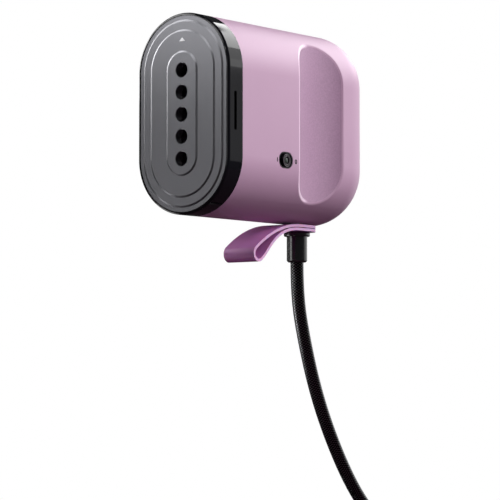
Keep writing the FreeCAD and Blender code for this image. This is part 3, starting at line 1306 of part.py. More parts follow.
def make_screws():
    """The head, chassis and clamp screws."""
    screw_group("head_screws", head_screw_places(FLANGE_REAR), "-y", f"{FLANGE_REAR} - {PLATE_BACK} + 1.5",
                SCREW_RADIUS, SCREW_HEAD, SCREW_HEAD_THICK)
    screw_group("chassis_screws", boss_places(CHASSIS_FRONT), "+y", "dim.chassis_thick + 12",
                SCREW_RADIUS, SCREW_HEAD, SCREW_HEAD_THICK)
    screw_group("clamp_screws", clamp_screw_places(), "+y", "14", SCREW_RADIUS, SCREW_HEAD,
                SCREW_HEAD_THICK)


def check_document():
    """Stop if a feature failed, a cut removed nothing or a piece isn't a valid solid."""
    for item in doc.Objects:
        faults = [state for state in item.State if state in ("Invalid", "Error")]
        if faults:
            raise RuntimeError(f"{item.Name} is {faults}")
        if item.TypeId == "Part::Cut" and item.Base.Shape.Volume - item.Shape.Volume < 1e-6:
            raise RuntimeError(f"{item.Name} removed nothing")
    for name, item in nodes.items():
        shape = item.Shape
        if shape.isNull() or not shape.isValid() or not shape.Solids:
            raise RuntimeError(f"{name} isn't a valid solid")


def write_parts():
    os.makedirs(OUT, exist_ok=True)
    for name, item in nodes.items():
        shape = item.Shape
        print(f"{name}: {len(shape.Solids)} solids, {shape.Volume:.0f} mm3")
        shape.exportStep(os.path.join(OUT, name + ".step"))


def main():
    fill_sheet()
    for make in (make_sole_plate, make_head_band, make_gaskets, make_steam_chamber, make_heater,
                 make_sensors,
                 make_body_shell, make_grip_pads, make_switch, make_filler, make_chassis, make_heat_shield,
                 make_tank, make_pump, make_hoses, make_board, make_wiring, make_bush, make_cord_anchor,
                 make_strap, make_cord, make_cord_coil, make_coil_tie, make_plug, make_screws):
        make()
    doc.recompute()
    check_document()
    write_parts()


main()
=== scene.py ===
"""A small hand-held garment steamer: looks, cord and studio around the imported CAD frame.

Metres, +Z up. The sole plate faces -Y, the power switch is on the +X side and the filler bung on the -X side.
"""
import json
import math

import bmesh
import bpy
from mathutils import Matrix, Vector
from mathutils.bvhtree import BVHTree


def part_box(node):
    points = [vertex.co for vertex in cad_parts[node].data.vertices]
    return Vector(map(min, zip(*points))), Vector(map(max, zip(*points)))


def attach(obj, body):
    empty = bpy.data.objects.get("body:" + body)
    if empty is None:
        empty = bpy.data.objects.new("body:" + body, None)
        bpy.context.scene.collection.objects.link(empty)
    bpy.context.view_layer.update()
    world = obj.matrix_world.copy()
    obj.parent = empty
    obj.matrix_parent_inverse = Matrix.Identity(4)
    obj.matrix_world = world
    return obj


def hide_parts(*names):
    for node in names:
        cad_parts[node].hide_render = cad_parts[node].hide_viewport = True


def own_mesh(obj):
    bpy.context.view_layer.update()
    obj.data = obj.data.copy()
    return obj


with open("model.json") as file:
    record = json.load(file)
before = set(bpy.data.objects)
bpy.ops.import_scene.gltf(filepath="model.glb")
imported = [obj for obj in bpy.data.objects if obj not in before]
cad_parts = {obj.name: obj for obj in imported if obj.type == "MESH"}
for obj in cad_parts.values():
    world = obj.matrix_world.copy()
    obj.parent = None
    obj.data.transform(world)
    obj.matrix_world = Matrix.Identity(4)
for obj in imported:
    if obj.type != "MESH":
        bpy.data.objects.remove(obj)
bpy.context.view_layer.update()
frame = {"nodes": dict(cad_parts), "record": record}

MM = 0.001
NODES = frame["nodes"]


def link_piece(name, data):
    """An object for a mesh, a curve, a lamp or a camera."""
    made = bpy.data.objects.new(name, data)
    bpy.context.collection.objects.link(made)
    return made


# Camera.

CAMERA_AT = Vector((0.788875, -1.044874, -0.146856))
CAMERA_TARGET = Vector((0.001014, -0.025449, -0.068703))
CAMERA_LENS = 172.8
CAMERA_SENSOR = 36.0
CAMERA_CLIP = (0.05, 50)


def make_camera():
    """The camera, at the photograph's place."""
    data = bpy.data.cameras.new("camera")
    data.sensor_width = CAMERA_SENSOR
    data.lens = CAMERA_LENS
    data.clip_start, data.clip_end = CAMERA_CLIP
    camera = link_piece("camera", data)
    camera.location = CAMERA_AT
    camera.rotation_euler = (CAMERA_TARGET - CAMERA_AT).to_track_quat("-Z", "Y").to_euler()
    bpy.context.scene.camera = camera


# Shader helpers. A value is a number, a colour or the output of another node.

def new_material(name):
    """A node material with a Principled shader."""
    made = bpy.data.materials.new(name)
    made.use_nodes = True
    tree = made.node_tree
    return made, tree, tree.nodes["Principled BSDF"]


def add(tree, kind, **values):
    """A node with its sockets set by name and its settings by attribute."""
    made = tree.nodes.new("ShaderNode" + kind)
    for key, value in values.items():
        if hasattr(made, key):
            setattr(made, key, value)
        else:
            made.inputs[key.replace("_", " ")].default_value = value
    return made


def feed(tree, socket, value):
    """Give a socket its value."""
    if isinstance(value, bpy.types.NodeSocket):
        tree.links.new(value, socket)
    elif isinstance(value, tuple):
        socket.default_value = (*value, 1)
    else:
        socket.default_value = value


def math_node(tree, operation, *values, clamp=False):
    """The result of one step of arithmetic."""
    made = add(tree, "Math", operation=operation, use_clamp=clamp)
    for socket, value in zip(made.inputs, values):
        feed(tree, socket, value)
    return made.outputs[0]


def split(tree, vector):
    """The X, Y and Z of a vector."""
    made = add(tree, "SeparateXYZ")
    tree.links.new(vector, made.inputs[0])
    return tuple(made.outputs)


def object_coordinates(tree):
    """Where a point lies on the object."""
    return add(tree, "TexCoord").outputs["Object"]


def noise(tree, vector, scale, detail, roughness=0.5):
    """A cloudy pattern."""
    made = add(tree, "TexNoise", Scale=scale, Detail=detail, Roughness=roughness)
    tree.links.new(vector, made.inputs["Vector"])
    return made.outputs["Fac"]


def between(tree, factor, slope, low, high):
    """One level or colour up to where the slope starts, and another from where it ends."""
    made = add(tree, "ValToRGB")
    tree.links.new(factor, made.inputs[0])
    for point, place, level in zip(made.color_ramp.elements, slope, (low, high)):
        point.position = place
        point.color = (*level, 1) if isinstance(level, tuple) else (level, level, level, 1)
    return made.outputs[0]


def mix_colors(tree, share, first, second, blend="MIX"):
    """The first colour with a share of the second blended in."""
    made = add(tree, "MixRGB", blend_type=blend)
    for socket, value in zip(made.inputs, (share, first, second)):
        feed(tree, socket, value)
    return made.outputs[0]


def mix_shaders(tree, share, first, second):
    """The first shader where the share is 0, and the second where it is 1."""
    made = add(tree, "MixShader")
    for socket, value in zip(made.inputs, (share, first, second)):
        tree.links.new(value, socket)
    return made.outputs[0]


def set_bump(tree, shader, height, distance):
    """Raise a shader's surface by a pattern."""
    made = add(tree, "Bump", Strength=1.0, Distance=distance)
    tree.links.new(height, made.inputs["Height"])
    tree.links.new(made.outputs[0], shader.inputs["Normal"])


# Where a slow pattern passes from one level to another, and where a fine one does.
SLOW_SLOPE = (0.35, 0.65)
FINE_SLOPE = (0.3, 0.7)
DRIFT_SCALE = 30.0
SPECKLE_SIZE = 0.9 * MM


def set_roughness(tree, shader, fine, low, high):
    """Let a fine pattern vary a shader's roughness."""
    feed(tree, shader.inputs["Roughness"], between(tree, fine, FINE_SLOPE, low, high))


def speckled(tree, color, where, strength):
    """A colour with small darker specks."""
    specks = noise(tree, where, 1 / SPECKLE_SIZE, detail=2.0, roughness=0.7)
    shade = between(tree, specks, SLOW_SLOPE, 1 - strength, 1.0)
    return mix_colors(tree, 1.0, color, shade, blend="MULTIPLY")


def grained(name, color, roughness, grain=0.25 * MM, depth=0.01 * MM, spread=0.06, tint=0.03, speckle=0.0,
            **sockets):
    """Moulded or cast stuff: a fine grain, a slow drift in its colour, and perhaps some speckle."""
    made, tree, shader = new_material(name)
    where = object_coordinates(tree)
    slow = noise(tree, where, DRIFT_SCALE, detail=3.0)
    fine = noise(tree, where, 1 / grain, detail=4.0, roughness=0.6)
    low, high = [tuple(min(1.0, channel * (1 + sign * tint)) for channel in color) for sign in (-1, 1)]
    shade = between(tree, slow, SLOW_SLOPE, low, high)
    if speckle:
        shade = speckled(tree, shade, where, speckle)
    feed(tree, shader.inputs["Base Color"], shade)
    set_roughness(tree, shader, fine, roughness - spread / 2, roughness + spread / 2)
    set_bump(tree, shader, fine, depth)
    for socket, value in sockets.items():
        shader.inputs[socket.replace("_", " ")].default_value = value
    return made


# Mesh helpers.

LATHE_STEPS = 48
# Where the ends of a tube lie in its UV map.
TUBE_END = (0.5, 0.0)


def turns_of(steps):
    """Even angles once round."""
    return [2 * math.pi * k / steps for k in range(steps)]


def ring_round(middle, side, up, radii):
    """Points round a middle at even angles, each at its own radius."""
    return [middle + (side * math.cos(turn) + up * math.sin(turn)) * radius
            for turn, radius in zip(turns_of(len(radii)), radii)]


def frames_along(places):
    """Each point of a line with two directions across it, which turn as little as they can."""
    directions = [(b - a).normalized() for a, b in zip([places[0], *places[:-1]], [*places[1:], places[-1]])]
    side = directions[0].orthogonal().normalized()
    for place, direction in zip(places, directions):
        side = (side - direction * side.dot(direction)).normalized()
        yield place, side, direction.cross(side)


def tube_of_rings(name, rings, lengths):
    """A closed tube through rings of points. Its UV map holds turns and the lengths given."""
    sides = len(rings[0])
    faces, uvs = [], []
    for row in range(len(rings) - 1):
        low, high = row * sides, (row + 1) * sides
        for k in range(sides):
            after = (k + 1) % sides
            faces.append((low + k, low + after, high + after, high + k))
            for around, along in ((k, row), (k + 1, row), (k + 1, row + 1), (k, row + 1)):
                uvs += [around / sides, lengths[along]]
    last = (len(rings) - 1) * sides
    faces.append(tuple(reversed(range(sides))))
    faces.append(tuple(range(last, last + sides)))
    uvs += TUBE_END * (2 * sides)
    mesh = bpy.data.meshes.new(name)
    mesh.from_pydata([tuple(point) for ring in rings for point in ring], [], faces)
    mesh.uv_layers.new(name="UVMap").uv.foreach_set("vector", uvs)
    mesh.polygons.foreach_set("use_smooth", [True] * (len(faces) - 2) + [False] * 2)
    return link_piece(name, mesh)


def finish_shape(name, shape):
    """An object for a bmesh, with its faces turned outwards."""
    bmesh.ops.recalc_face_normals(shape, faces=shape.faces)
    mesh = bpy.data.meshes.new(name)
    shape.to_mesh(mesh)
    shape.free()
    return link_piece(name, mesh)


def lathe(name, profile, origin, axis):
    """A turned piece: (radius, height) points spun about an axis, a closed ring if the last is the first."""
    axis = Vector(axis).normalized()
    side = axis.orthogonal().normalized()
    up = axis.cross(side)
    closed = profile[0] == profile[-1]
    shape = bmesh.new()
    rings = []
    for radius, height in profile[:-1] if closed else profile:
        middle = Vector(origin) + axis * height
        points = ring_round(middle, side, up, [radius] * LATHE_STEPS) if radius else [middle]
        rings.append([shape.verts.new(point) for point in points])
    if closed:
        rings.append(rings[0])
    for low, high in zip(rings, rings[1:]):
        for k in range(LATHE_STEPS):
            after = k + 1
            corners = [low[k % len(low)], low[after % len(low)], high[after % len(high)], high[k % len(high)]]
            shape.faces.new(list(dict.fromkeys(corners))).smooth = True
    return finish_shape(name, shape)


# The cord's line, in millimetres: from the bush down to the floor, round the coil and on to the plug.

CORD_ROUTE = [
    (0, 18.3, -73.4), (0, 18.3, -92), (0, 25, -117), (0, 36, -146), (0, 52, -174), (0, 71, -199),
    (0, 90, -216), (-1.5, 113, -224.5),
]
LEAD_ROUTE = [(-71.5, 68, -240.0), (-60.4, 42.5, -235), (-57.7, 35.0, -235)]
CORD_DIAMETER = 7.2
COIL_CENTRE = (-34.0, 100.0)
ENTRY_ANGLE = 55.0
EXIT_ANGLE = 190.0
SHIFT_ANGLE = 35.0
POINTS_PER_TURN = 24
LANES = (30.3, 37.5, 44.7)
ROWS = (-240.6, -233.4, -226.2)
ENTRY_LANE, ENTRY_ROW = 1, 2
# The angle at which each shift starts, how many turns in, and the lane and row that it leads to.
SHIFTS = [
    (220, 0, 2, 2),
    (0, 2, 2, 1),
    (325, 2, 1, 1),
    (325, 3, 0, 1),
    (290, 4, 0, 0),
    (255, 5, 1, 0),
    (255, 6, 2, 0),
]
LAST_TURN = 7


def eased(share):
    """A share that starts and ends softly."""
    share = min(1.0, max(0.0, share))
    return share * share * (3 - 2 * share)


def coil_points():
    """The coil's turns. Each shift waits until its lane is free, so that no turn cuts through another."""
    last = EXIT_ANGLE + 360 * LAST_TURN
    count = round((last - ENTRY_ANGLE) / 360 * POINTS_PER_TURN)
    grow = 1 / math.cos(math.pi / POINTS_PER_TURN)
    places = []
    for step in range(count + 1):
        angle = ENTRY_ANGLE + (last - ENTRY_ANGLE) * step / count
        radius, height = LANES[ENTRY_LANE], ROWS[ENTRY_ROW]
        for start, turns, lane, row in SHIFTS:
            share = eased((angle - start - 360 * turns) / SHIFT_ANGLE)
            radius += (LANES[lane] - radius) * share
            height += (ROWS[row] - height) * share
        turn = math.radians(angle)
        places.append((COIL_CENTRE[0] + radius * grow * math.cos(turn),
                       COIL_CENTRE[1] + radius * grow * math.sin(turn), height))
    return places


def make_cord_line():
    """The cord's centreline from the bush to the plug, as one smooth spline."""
    data = bpy.data.curves.new("cord_line", "CURVE")
    data.dimensions = "3D"
    spline = data.splines.new("NURBS")
    places = [*CORD_ROUTE, *coil_points(), *LEAD_ROUTE]
    spline.points.add(len(places) - 1)
    for point, place in zip(spline.points, places):
        point.co = (*[value * MM for value in place], 1)
    spline.order_u = 3
    spline.use_endpoint_u = True
    data.resolution_u = 6
    return link_piece("cord_line", data)


def line_points(line):
    """The points that a curve with no bevel gives."""
    bpy.context.view_layer.update()
    mesh = bpy.data.meshes.new_from_object(line.evaluated_get(bpy.context.evaluated_depsgraph_get()))
    places = [vertex.co.copy() for vertex in mesh.vertices]
    bpy.data.meshes.remove(mesh)
    return places


def even_points(places, spacing):
    """The same line with points at even distances."""
    total = sum((b - a).length for a, b in zip(places, places[1:]))
    count = round(total / spacing)
    step = total / count
    made, travelled, target = [places[0]], 0.0, step
    for start, end in zip(places, places[1:]):
        run = (end - start).length
        while len(made) < count and travelled + run >= target:
            made.append(start.lerp(end, (target - travelled) / run))
            target += step
        travelled += run
    return [*made, places[-1]]


# The cord's braid, which is raised only where the cord hangs.

THREADS = 10
BRAID_PITCH = 1.5 * MM
RINGS_PER_PITCH = 5
RING_SPACING = BRAID_PITCH / RINGS_PER_PITCH
BRAID_SIDES = 40
BRAID_VALLEY = -0.06 * MM
BRAID_CROWN = 0.09 * MM
# How high a thread stands between crossings, where 1 is its height on a crossing.
THREAD_LEVEL = 0.6
HANGING_LENGTH = 222 * MM
# Past that, one ring in this many is made.
COIL_RING_SHARE = 5


def braid_height(around, along):
    """How far the threads stand out, from 0 in a gap to 1 on a crossing."""
    first, second = THREADS * around + along / BRAID_PITCH, THREADS * around - along / BRAID_PITCH
    arches = [math.sin(math.pi * (run % 1)) for run in (first, second)]
    over = (math.floor(first) + math.floor(second)) % 2
    return arches[over] * (THREAD_LEVEL + (1 - THREAD_LEVEL) * arches[1 - over])


def braid_relief(along):
    """How far each point of a ring stands out from the cord's radius."""
    return [BRAID_VALLEY + (BRAID_CROWN - BRAID_VALLEY) * braid_height(k / BRAID_SIDES, along)
            for k in range(BRAID_SIDES)]


def braided_tube(name, places, radius):
    """A tube with its braid raised: fine rings where it hangs and fewer in the coil."""
    rings, lengths = [], []
    for number, (place, side, up) in enumerate(frames_along(places)):
        along = number * RING_SPACING
        hanging = along <= HANGING_LENGTH
        if not hanging and number % COIL_RING_SHARE and number < len(places) - 1:
            continue
        relief = braid_relief(along) if hanging else [0.0] * BRAID_SIDES
        lengths.append(along)
        rings.append(ring_round(place, side, up, [radius + rise for rise in relief]))
    return tube_of_rings(name, rings, lengths)


def make_cord(material):
    """The whole mains cord, from the bush to the plug."""
    line = make_cord_line()
    places = even_points(line_points(line), RING_SPACING)
    bpy.data.objects.remove(line)
    cord = braided_tube("mains_cord", places, CORD_DIAMETER / 2 * MM)
    cord.data.materials.append(material)
    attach(cord, "housing")
    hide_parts("power_cord", "cord_coil", "plug_lead")
    [value * MM for value in CORD_ROUTE[0]]


# Materials.

# The black thread is painted darker still in the gaps between threads, as shade. The crowns are a paler metal
# that reflects the lamps.
THREAD_GAP_SHADE = (0.002, 0.002, 0.002)
THREAD_PALE = (0.26, 0.26, 0.27)
THREAD_SLOPE = (0.62, 0.74)
CROSSING_WEIGHT = 0.55
FIBRE_SCALE = 5000.0


def braid_pattern(tree):
    """The braid's height by the cord's UV map, highest where two threads cross."""
    turns, length, _ = split(tree, add(tree, "TexCoord").outputs["UV"])
    around = math_node(tree, "MULTIPLY", turns, THREADS)
    along = math_node(tree, "MULTIPLY", length, 1 / BRAID_PITCH)
    cells, arches = [], []
    for operation in ("ADD", "SUBTRACT"):
        run = math_node(tree, operation, around, along)
        cells.append(math_node(tree, "FLOOR", run))
        inside = math_node(tree, "SUBTRACT", run, cells[-1])
        arches.append(math_node(tree, "SINE", math_node(tree, "MULTIPLY", inside, math.pi)))
    cell = math_node(tree, "ABSOLUTE", math_node(tree, "ADD", *cells))
    parity = math_node(tree, "MODULO", cell, 2.0)
    over = math_node(tree, "MULTIPLY", arches[0], parity)
    under = math_node(tree, "MULTIPLY", arches[1], math_node(tree, "SUBTRACT", 1.0, parity))
    crossing = math_node(tree, "MULTIPLY", *arches)
    height = math_node(tree, "ADD", math_node(tree, "ADD", over, under), crossing)
    return math_node(tree, "MULTIPLY", height, CROSSING_WEIGHT)


def braid_material():
    """Braided textile: two sets of threads that pass over and under each other, with shade painted near black
    into the gaps between them.
    """
    made, tree, shader = new_material("cord_braid")
    shade = between(tree, braid_pattern(tree), THREAD_SLOPE, THREAD_GAP_SHADE, THREAD_PALE)
    fibres = noise(tree, object_coordinates(tree), FIBRE_SCALE, detail=3.0)
    feed(tree, shader.inputs["Base Color"], shade)
    feed(tree, shader.inputs["Metallic"], 1.0)
    set_roughness(tree, shader, fibres, low=0.29, high=0.35)
    set_bump(tree, shader, fibres, 0.01 * MM)
    return made


STRAP_FACE = (0.46, 0.16, 0.42)
# The colour painted on the strap's cut sides as a highlight, where light catches them.
STRAP_EDGE_HIGHLIGHT = (0.70, 0.42, 0.66)
STRAP_BRIGHTER = 1.06
STRAP_DRIFT_SCALE = 60.0
STRAP_GRAIN = 0.3 * MM
# How far the surface has turned sideways where the painted highlight on the strap's cut sides starts and is
# whole.
STRAP_TURN = (0.45, 0.8)


def strap_material():
    """Moulded silicone: satin faces, and cut sides painted paler as a highlight where light catches them."""
    made, tree, shader = new_material("strap_plum")
    coordinates = add(tree, "TexCoord")
    side = math_node(tree, "ABSOLUTE", split(tree, coordinates.outputs["Normal"])[0])
    slow = noise(tree, coordinates.outputs["Object"], STRAP_DRIFT_SCALE, detail=3.0)
    fine = noise(tree, coordinates.outputs["Object"], 1 / STRAP_GRAIN, detail=3.0, roughness=0.6)
    brighter = tuple(channel * STRAP_BRIGHTER for channel in STRAP_FACE)
    shade = between(tree, slow, SLOW_SLOPE, STRAP_FACE, brighter)
    # Painted highlight on the cut sides, found by how far the surface turns sideways.
    edge = between(tree, side, STRAP_TURN, 0.0, 1.0)
    feed(tree, shader.inputs["Base Color"], mix_colors(tree, edge, shade, STRAP_EDGE_HIGHLIGHT))
    feed(tree, shader.inputs["Specular IOR Level"], 0.35)
    feed(tree, shader.inputs["Subsurface Weight"], 0.15)
    feed(tree, shader.inputs["Subsurface Scale"], 1.0 * MM)
    set_roughness(tree, shader, fine, low=0.50, high=0.60)
    set_bump(tree, shader, fine, 0.005 * MM)
    return made


# A pale colour painted along the scoops' front lips as a highlight, where light from behind catches their
# rounded edges.
LIP_HIGHLIGHT_COLOR = (0.95, 0.74, 0.89)
# How far the surface has turned to the rear where the painted highlight on a lip starts and is whole.
LIP_TURN = (0.06, 0.2)
# How far in from the shell's outside the painted highlight ends, and over what depth it fades.
LIP_DEPTH, LIP_FADE = 1.3 * MM, 0.5 * MM


def depth_in_shell(tree, x, z):
    """How far a place lies inside the shell's outline, which has flat sides and a round top and bottom."""
    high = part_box("body_shell")[1]
    radius, straight = high.x, high.z - high.x
    above = math_node(tree, "SUBTRACT", math_node(tree, "ABSOLUTE", z), straight)
    rise = math_node(tree, "POWER", math_node(tree, "MAXIMUM", above, 0.0), 2.0)
    across = math_node(tree, "MULTIPLY", x, x)
    reach = math_node(tree, "SQRT", math_node(tree, "ADD", across, rise))
    return math_node(tree, "SUBTRACT", radius, reach)


def paint_lip_highlights(material):
    """Paint a pale highlight along the scoops' rounded front lips, where light from behind catches them."""
    tree = material.node_tree
    base = tree.nodes["Principled BSDF"].inputs["Base Color"]
    x, y, z = split(tree, object_coordinates(tree))
    facing = split(tree, add(tree, "TexCoord").outputs["Normal"])[1]
    turn = between(tree, facing, LIP_TURN, 0.0, 1.0)
    left = math_node(tree, "SUBTRACT", LIP_DEPTH, depth_in_shell(tree, x, z))
    share = math_node(tree, "MULTIPLY", turn, math_node(tree, "DIVIDE", left, LIP_FADE, clamp=True))
    share = math_node(tree, "MULTIPLY", share, math_node(tree, "LESS_THAN", y, 0.0))
    # The lips' painted highlight is mixed into the base colour.
    feed(tree, base, mix_colors(tree, share, base.links[0].from_socket, LIP_HIGHLIGHT_COLOR))
    return material


def outer_materials():
    """The outer parts' materials by their slots in the record."""
    shell = grained("shell_pink", (0.515, 0.32, 0.46), 0.47, grain=0.22 * MM, depth=0.004 * MM, tint=0.01,
                    Specular_IOR_Level=1.0)
    grip = grained("grip_soft", (0.455, 0.285, 0.415), 0.62, grain=0.3 * MM, depth=0.02 * MM, tint=0.02,
                   speckle=0.13)
    return {
        # The shell and the grip get a painted highlight along the scoops' lips.
        "shell_pink": paint_lip_highlights(shell),
        "grip_soft": paint_lip_highlights(grip),
        "band_black": grained("band_black", (0.006, 0.006, 0.008), 0.06, grain=0.5 * MM, depth=0.0008 * MM,
                              spread=0.02, Specular_IOR_Level=0.35),
        "plate_grey": grained("plate_grey", (0.12, 0.12, 0.13), 0.31, grain=0.12 * MM, depth=0.003 * MM,
                              Metallic=0.8),
        "bung_pink": grained("bung_pink", (0.53, 0.33, 0.475), 0.45),
        "well_black": grained("well_black", (0.008, 0.008, 0.01), 0.35),
        "knob_dark": grained("knob_dark", (0.012, 0.009, 0.012), 0.3, grain=0.2 * MM, depth=0.004 * MM),
        "bush_black": grained("bush_black", (0.004, 0.004, 0.005), 0.24, grain=0.5 * MM, depth=0.001 * MM,
                              spread=0.03, Specular_IOR_Level=1.0, IOR=1.8),
        "strap_plum": strap_material(),
        "cord_braid": braid_material(),
        "plug_black": grained("plug_black", (0.012, 0.012, 0.013), 0.5, grain=0.35 * MM, depth=0.02 * MM),
        "pin_metal": grained("pin_metal", (0.7, 0.68, 0.65), 0.2, Metallic=1.0),
    }


def inner_materials():
    """The inner parts' materials by their slots in the record."""
    return {
        "inner_black": grained("inner_black", (0.02, 0.02, 0.022), 0.5),
        "inner_white": grained("inner_white", (0.75, 0.75, 0.72), 0.45),
        "tank_clear": grained("tank_clear", (0.6, 0.66, 0.72), 0.3, Transmission_Weight=0.6),
        "seal": grained("seal", (0.4, 0.05, 0.03), 0.55),
        "cast": grained("cast", (0.55, 0.55, 0.56), 0.5, grain=0.6 * MM, depth=0.06 * MM, spread=0.15,
                        Metallic=1.0),
        "heater_steel": grained("heater_steel", (0.45, 0.43, 0.41), 0.4, Metallic=1.0),
        "zinc": grained("zinc", (0.6, 0.6, 0.62), 0.35, Metallic=1.0),
        "copper_coil": grained("copper_coil", (0.35, 0.12, 0.04), 0.5),
        "board_green": grained("board_green", (0.02, 0.12, 0.04), 0.4),
        "hose_white": grained("hose_white", (0.8, 0.8, 0.77), 0.5),
        "wire": grained("wire", (0.45, 0.03, 0.02), 0.45),
    }


def dress_nodes(materials):
    """Give each CAD node its material."""
    for entry in frame["record"]["subparts"]:
        piece = NODES[entry["node"]]
        piece.data.materials.clear()
        piece.data.materials.append(materials[entry["material_slot"]])


# Prints on the shell and the plate.

PRINT_LIFT = 0.03 * MM
PRINT_DEPTH = 0.02 * MM
# How far outside a surface the rays start that find it.
RAY_ROOM = 5 * MM
# Each mark's place along Y, and the width and height of its outline and of its hole if it has one.
MARKS = {
    "print_on": (-39.9 * MM, [(0.8 * MM, 2.4 * MM)]),
    "print_off": (-23.6 * MM, [(2.0 * MM, 2.6 * MM), (0.7 * MM, 1.3 * MM)]),
}
MARK_HEIGHT = -22.7 * MM
OUTLINE_STEPS = 24
ARROW_HEIGHT = 38.0 * MM
ARROW_SIZE = (3.7 * MM, 1.9 * MM)
ARROW_CORNER = 0.12 * MM
# The angles of the points round a corner, in radians from the way it points.
CORNER_TURNS = (-1.0, -0.5, 0.0, 0.5, 1.0)


def surface_of(node):
    """A CAD node's surface, for finding places on it with rays."""
    mesh = NODES[node].data
    return BVHTree.FromPolygons([vertex.co for vertex in mesh.vertices],
                                [tuple(polygon.vertices) for polygon in mesh.polygons])


def capsule(width, height):
    """A bar with round ends, as points around it."""
    radius, rise = width / 2, (height - width) / 2
    half = OUTLINE_STEPS // 2
    return [(radius * math.cos(turn), radius * math.sin(turn) + (rise if number < half else -rise))
            for number, turn in enumerate(math.pi * (k + 0.5) / half for k in range(OUTLINE_STEPS))]


def arrow(width, height, corner):
    """A triangle with small round corners that points up."""
    middle = (0, height / 3)
    places = []
    for tip in ((0, height), (-width / 2, 0), (width / 2, 0)):
        away = (tip[0] - middle[0], tip[1] - middle[1])
        inward = 2 * corner / math.hypot(*away)
        start = math.atan2(away[1], away[0])
        for turn in CORNER_TURNS:
            places.append((tip[0] - away[0] * inward + corner * math.cos(start + turn),
                           tip[1] - away[1] * inward + corner * math.sin(start + turn)))
    return places


def band_between(shape, first, second):
    """Faces between two rings of as many points."""
    count = len(first)
    for k in range(count):
        shape.faces.new((first[k], first[(k + 1) % count], second[(k + 1) % count], second[k]))


def ink_mark(name, node, origin, heading, right, outlines):
    """A thin print on a node's surface, from its outline and its hole's. Rays along the heading seat them."""
    surface = surface_of(node)
    heading, right, up = Vector(heading), Vector(right), Vector((0, 0, 1))
    shape = bmesh.new()
    tops, feet = [], []
    for outline in outlines:
        starts = [Vector(origin) + right * across + up * rise for across, rise in outline]
        seats = [surface.ray_cast(start, heading)[0] for start in starts]
        tops.append([shape.verts.new(seat - heading * PRINT_LIFT) for seat in seats])
        feet.append([shape.verts.new(seat + heading * PRINT_DEPTH) for seat in seats])
        band_between(shape, tops[-1], feet[-1])
    for level in (tops, feet):
        if len(level) > 1:
            band_between(shape, *level)
        else:
            shape.faces.new(level[0])
    made = finish_shape(name, shape)
    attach(made, "housing")
    return made


def make_prints():
    """The switch's I and O, and the arrow that shows which way up the plate is."""
    dark = grained("print_dark", (0.010, 0.003, 0.008), 0.6, grain=0.1 * MM, depth=0.002 * MM)
    pale = grained("print_pale", (0.85, 0.85, 0.87), 0.45, grain=0.1 * MM, depth=0.002 * MM, Metallic=0.2)
    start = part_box("body_shell")[1].x + RAY_ROOM
    for name, (place, sizes) in MARKS.items():
        mark = ink_mark(name, "body_shell", (start, place, MARK_HEIGHT), (-1, 0, 0), (0, 1, 0),
                        [capsule(*size) for size in sizes])
        mark.data.materials.append(dark)
    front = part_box("sole_plate")[0].y - RAY_ROOM
    mark = ink_mark("print_arrow", "sole_plate", (0, front, ARROW_HEIGHT), (0, 1, 0), (1, 0, 0),
                    [arrow(*ARROW_SIZE, ARROW_CORNER)])
    mark.data.materials.append(pale)


# The switch's knob.

# Each pale ring's radius as a share of the knob's. The rings stand as painted highlights on the edges of the
# knob's rim and dish.
RING_SHARES = {"switch_rim_highlight_ring": 0.93, "switch_dish_highlight_ring": 0.66}
RING_HALF_WIDTH = 0.14 * MM
RING_RISE = 0.10 * MM
RING_STEPS = 10
DISH_DEPTH = 0.5 * MM
DOME_RADIUS = 1.5 * MM
DOME_RISE = 0.35 * MM
DOME_STEPS = 8


def ring_profile(centre):
    """A flat oval, closed, at a distance from the axis."""
    oval = [(centre + RING_HALF_WIDTH * math.cos(turn), RING_RISE * math.sin(turn))
            for turn in turns_of(RING_STEPS)]
    return [*oval, oval[0]]


def dome_profile():
    """A shallow dome that stands in the knob's dish."""
    turns = [math.pi / 2 * k / DOME_STEPS for k in range(DOME_STEPS)]
    arc = [(DOME_RADIUS * math.cos(turn), DOME_RISE * math.sin(turn) - DISH_DEPTH) for turn in turns]
    return [*arc, (0, DOME_RISE - DISH_DEPTH)]


def dress_switch():
    """A pale ring on the knob's rim and another round its dish, as painted highlights on those edges, and a
    dome in the dish.
    """
    low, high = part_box("switch_knob")
    origin = (high.x, (low.y + high.y) / 2, (low.z + high.z) / 2)
    radius = (high.y - low.y) / 2
    # Pale satin metal for the rings, which stand as painted highlights on the knob's edges.
    satin = grained("ring_highlight_satin", (0.30, 0.28, 0.30), 0.3, grain=0.1 * MM, depth=0.002 * MM, Metallic=0.8)
    green = grained("dome_grey_green", (0.030, 0.042, 0.034), 0.25, grain=0.15 * MM, depth=0.003 * MM,
                    Coat_Weight=0.5)
    turned = [(name, ring_profile(radius * share), satin) for name, share in RING_SHARES.items()]
    for name, profile, material in [*turned, ("switch_dome", dome_profile(), green)]:
        piece = lathe(name, profile, origin, (1, 0, 0))
        piece.data.materials.append(material)
        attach(piece, "switch")


# The pump's return spring.

SPRING_WIRE = 0.35 * MM
SPRING_TURNS = 5
SPRING_STEPS = 20
SPRING_SIDES = 10
# How much the turns close up at the spring's ends, from 0 to 1.
SPRING_CLOSING = 0.6


def spring_points(low, high):
    """The middle of the wire, wound inside a box."""
    middle = (low + high) / 2
    radius = (high.x - low.x) / 2 - SPRING_WIRE
    start, rise = low.y + SPRING_WIRE, high.y - low.y - 2 * SPRING_WIRE
    places = []
    for step in range(SPRING_TURNS * SPRING_STEPS + 1):
        share = step / (SPRING_TURNS * SPRING_STEPS)
        turn = 2 * math.pi * SPRING_TURNS * share
        risen = share - SPRING_CLOSING * math.sin(2 * math.pi * share) / (2 * math.pi)
        places.append(Vector((middle.x + radius * math.cos(turn), start + rise * risen,
                              middle.z + radius * math.sin(turn))))
    return places


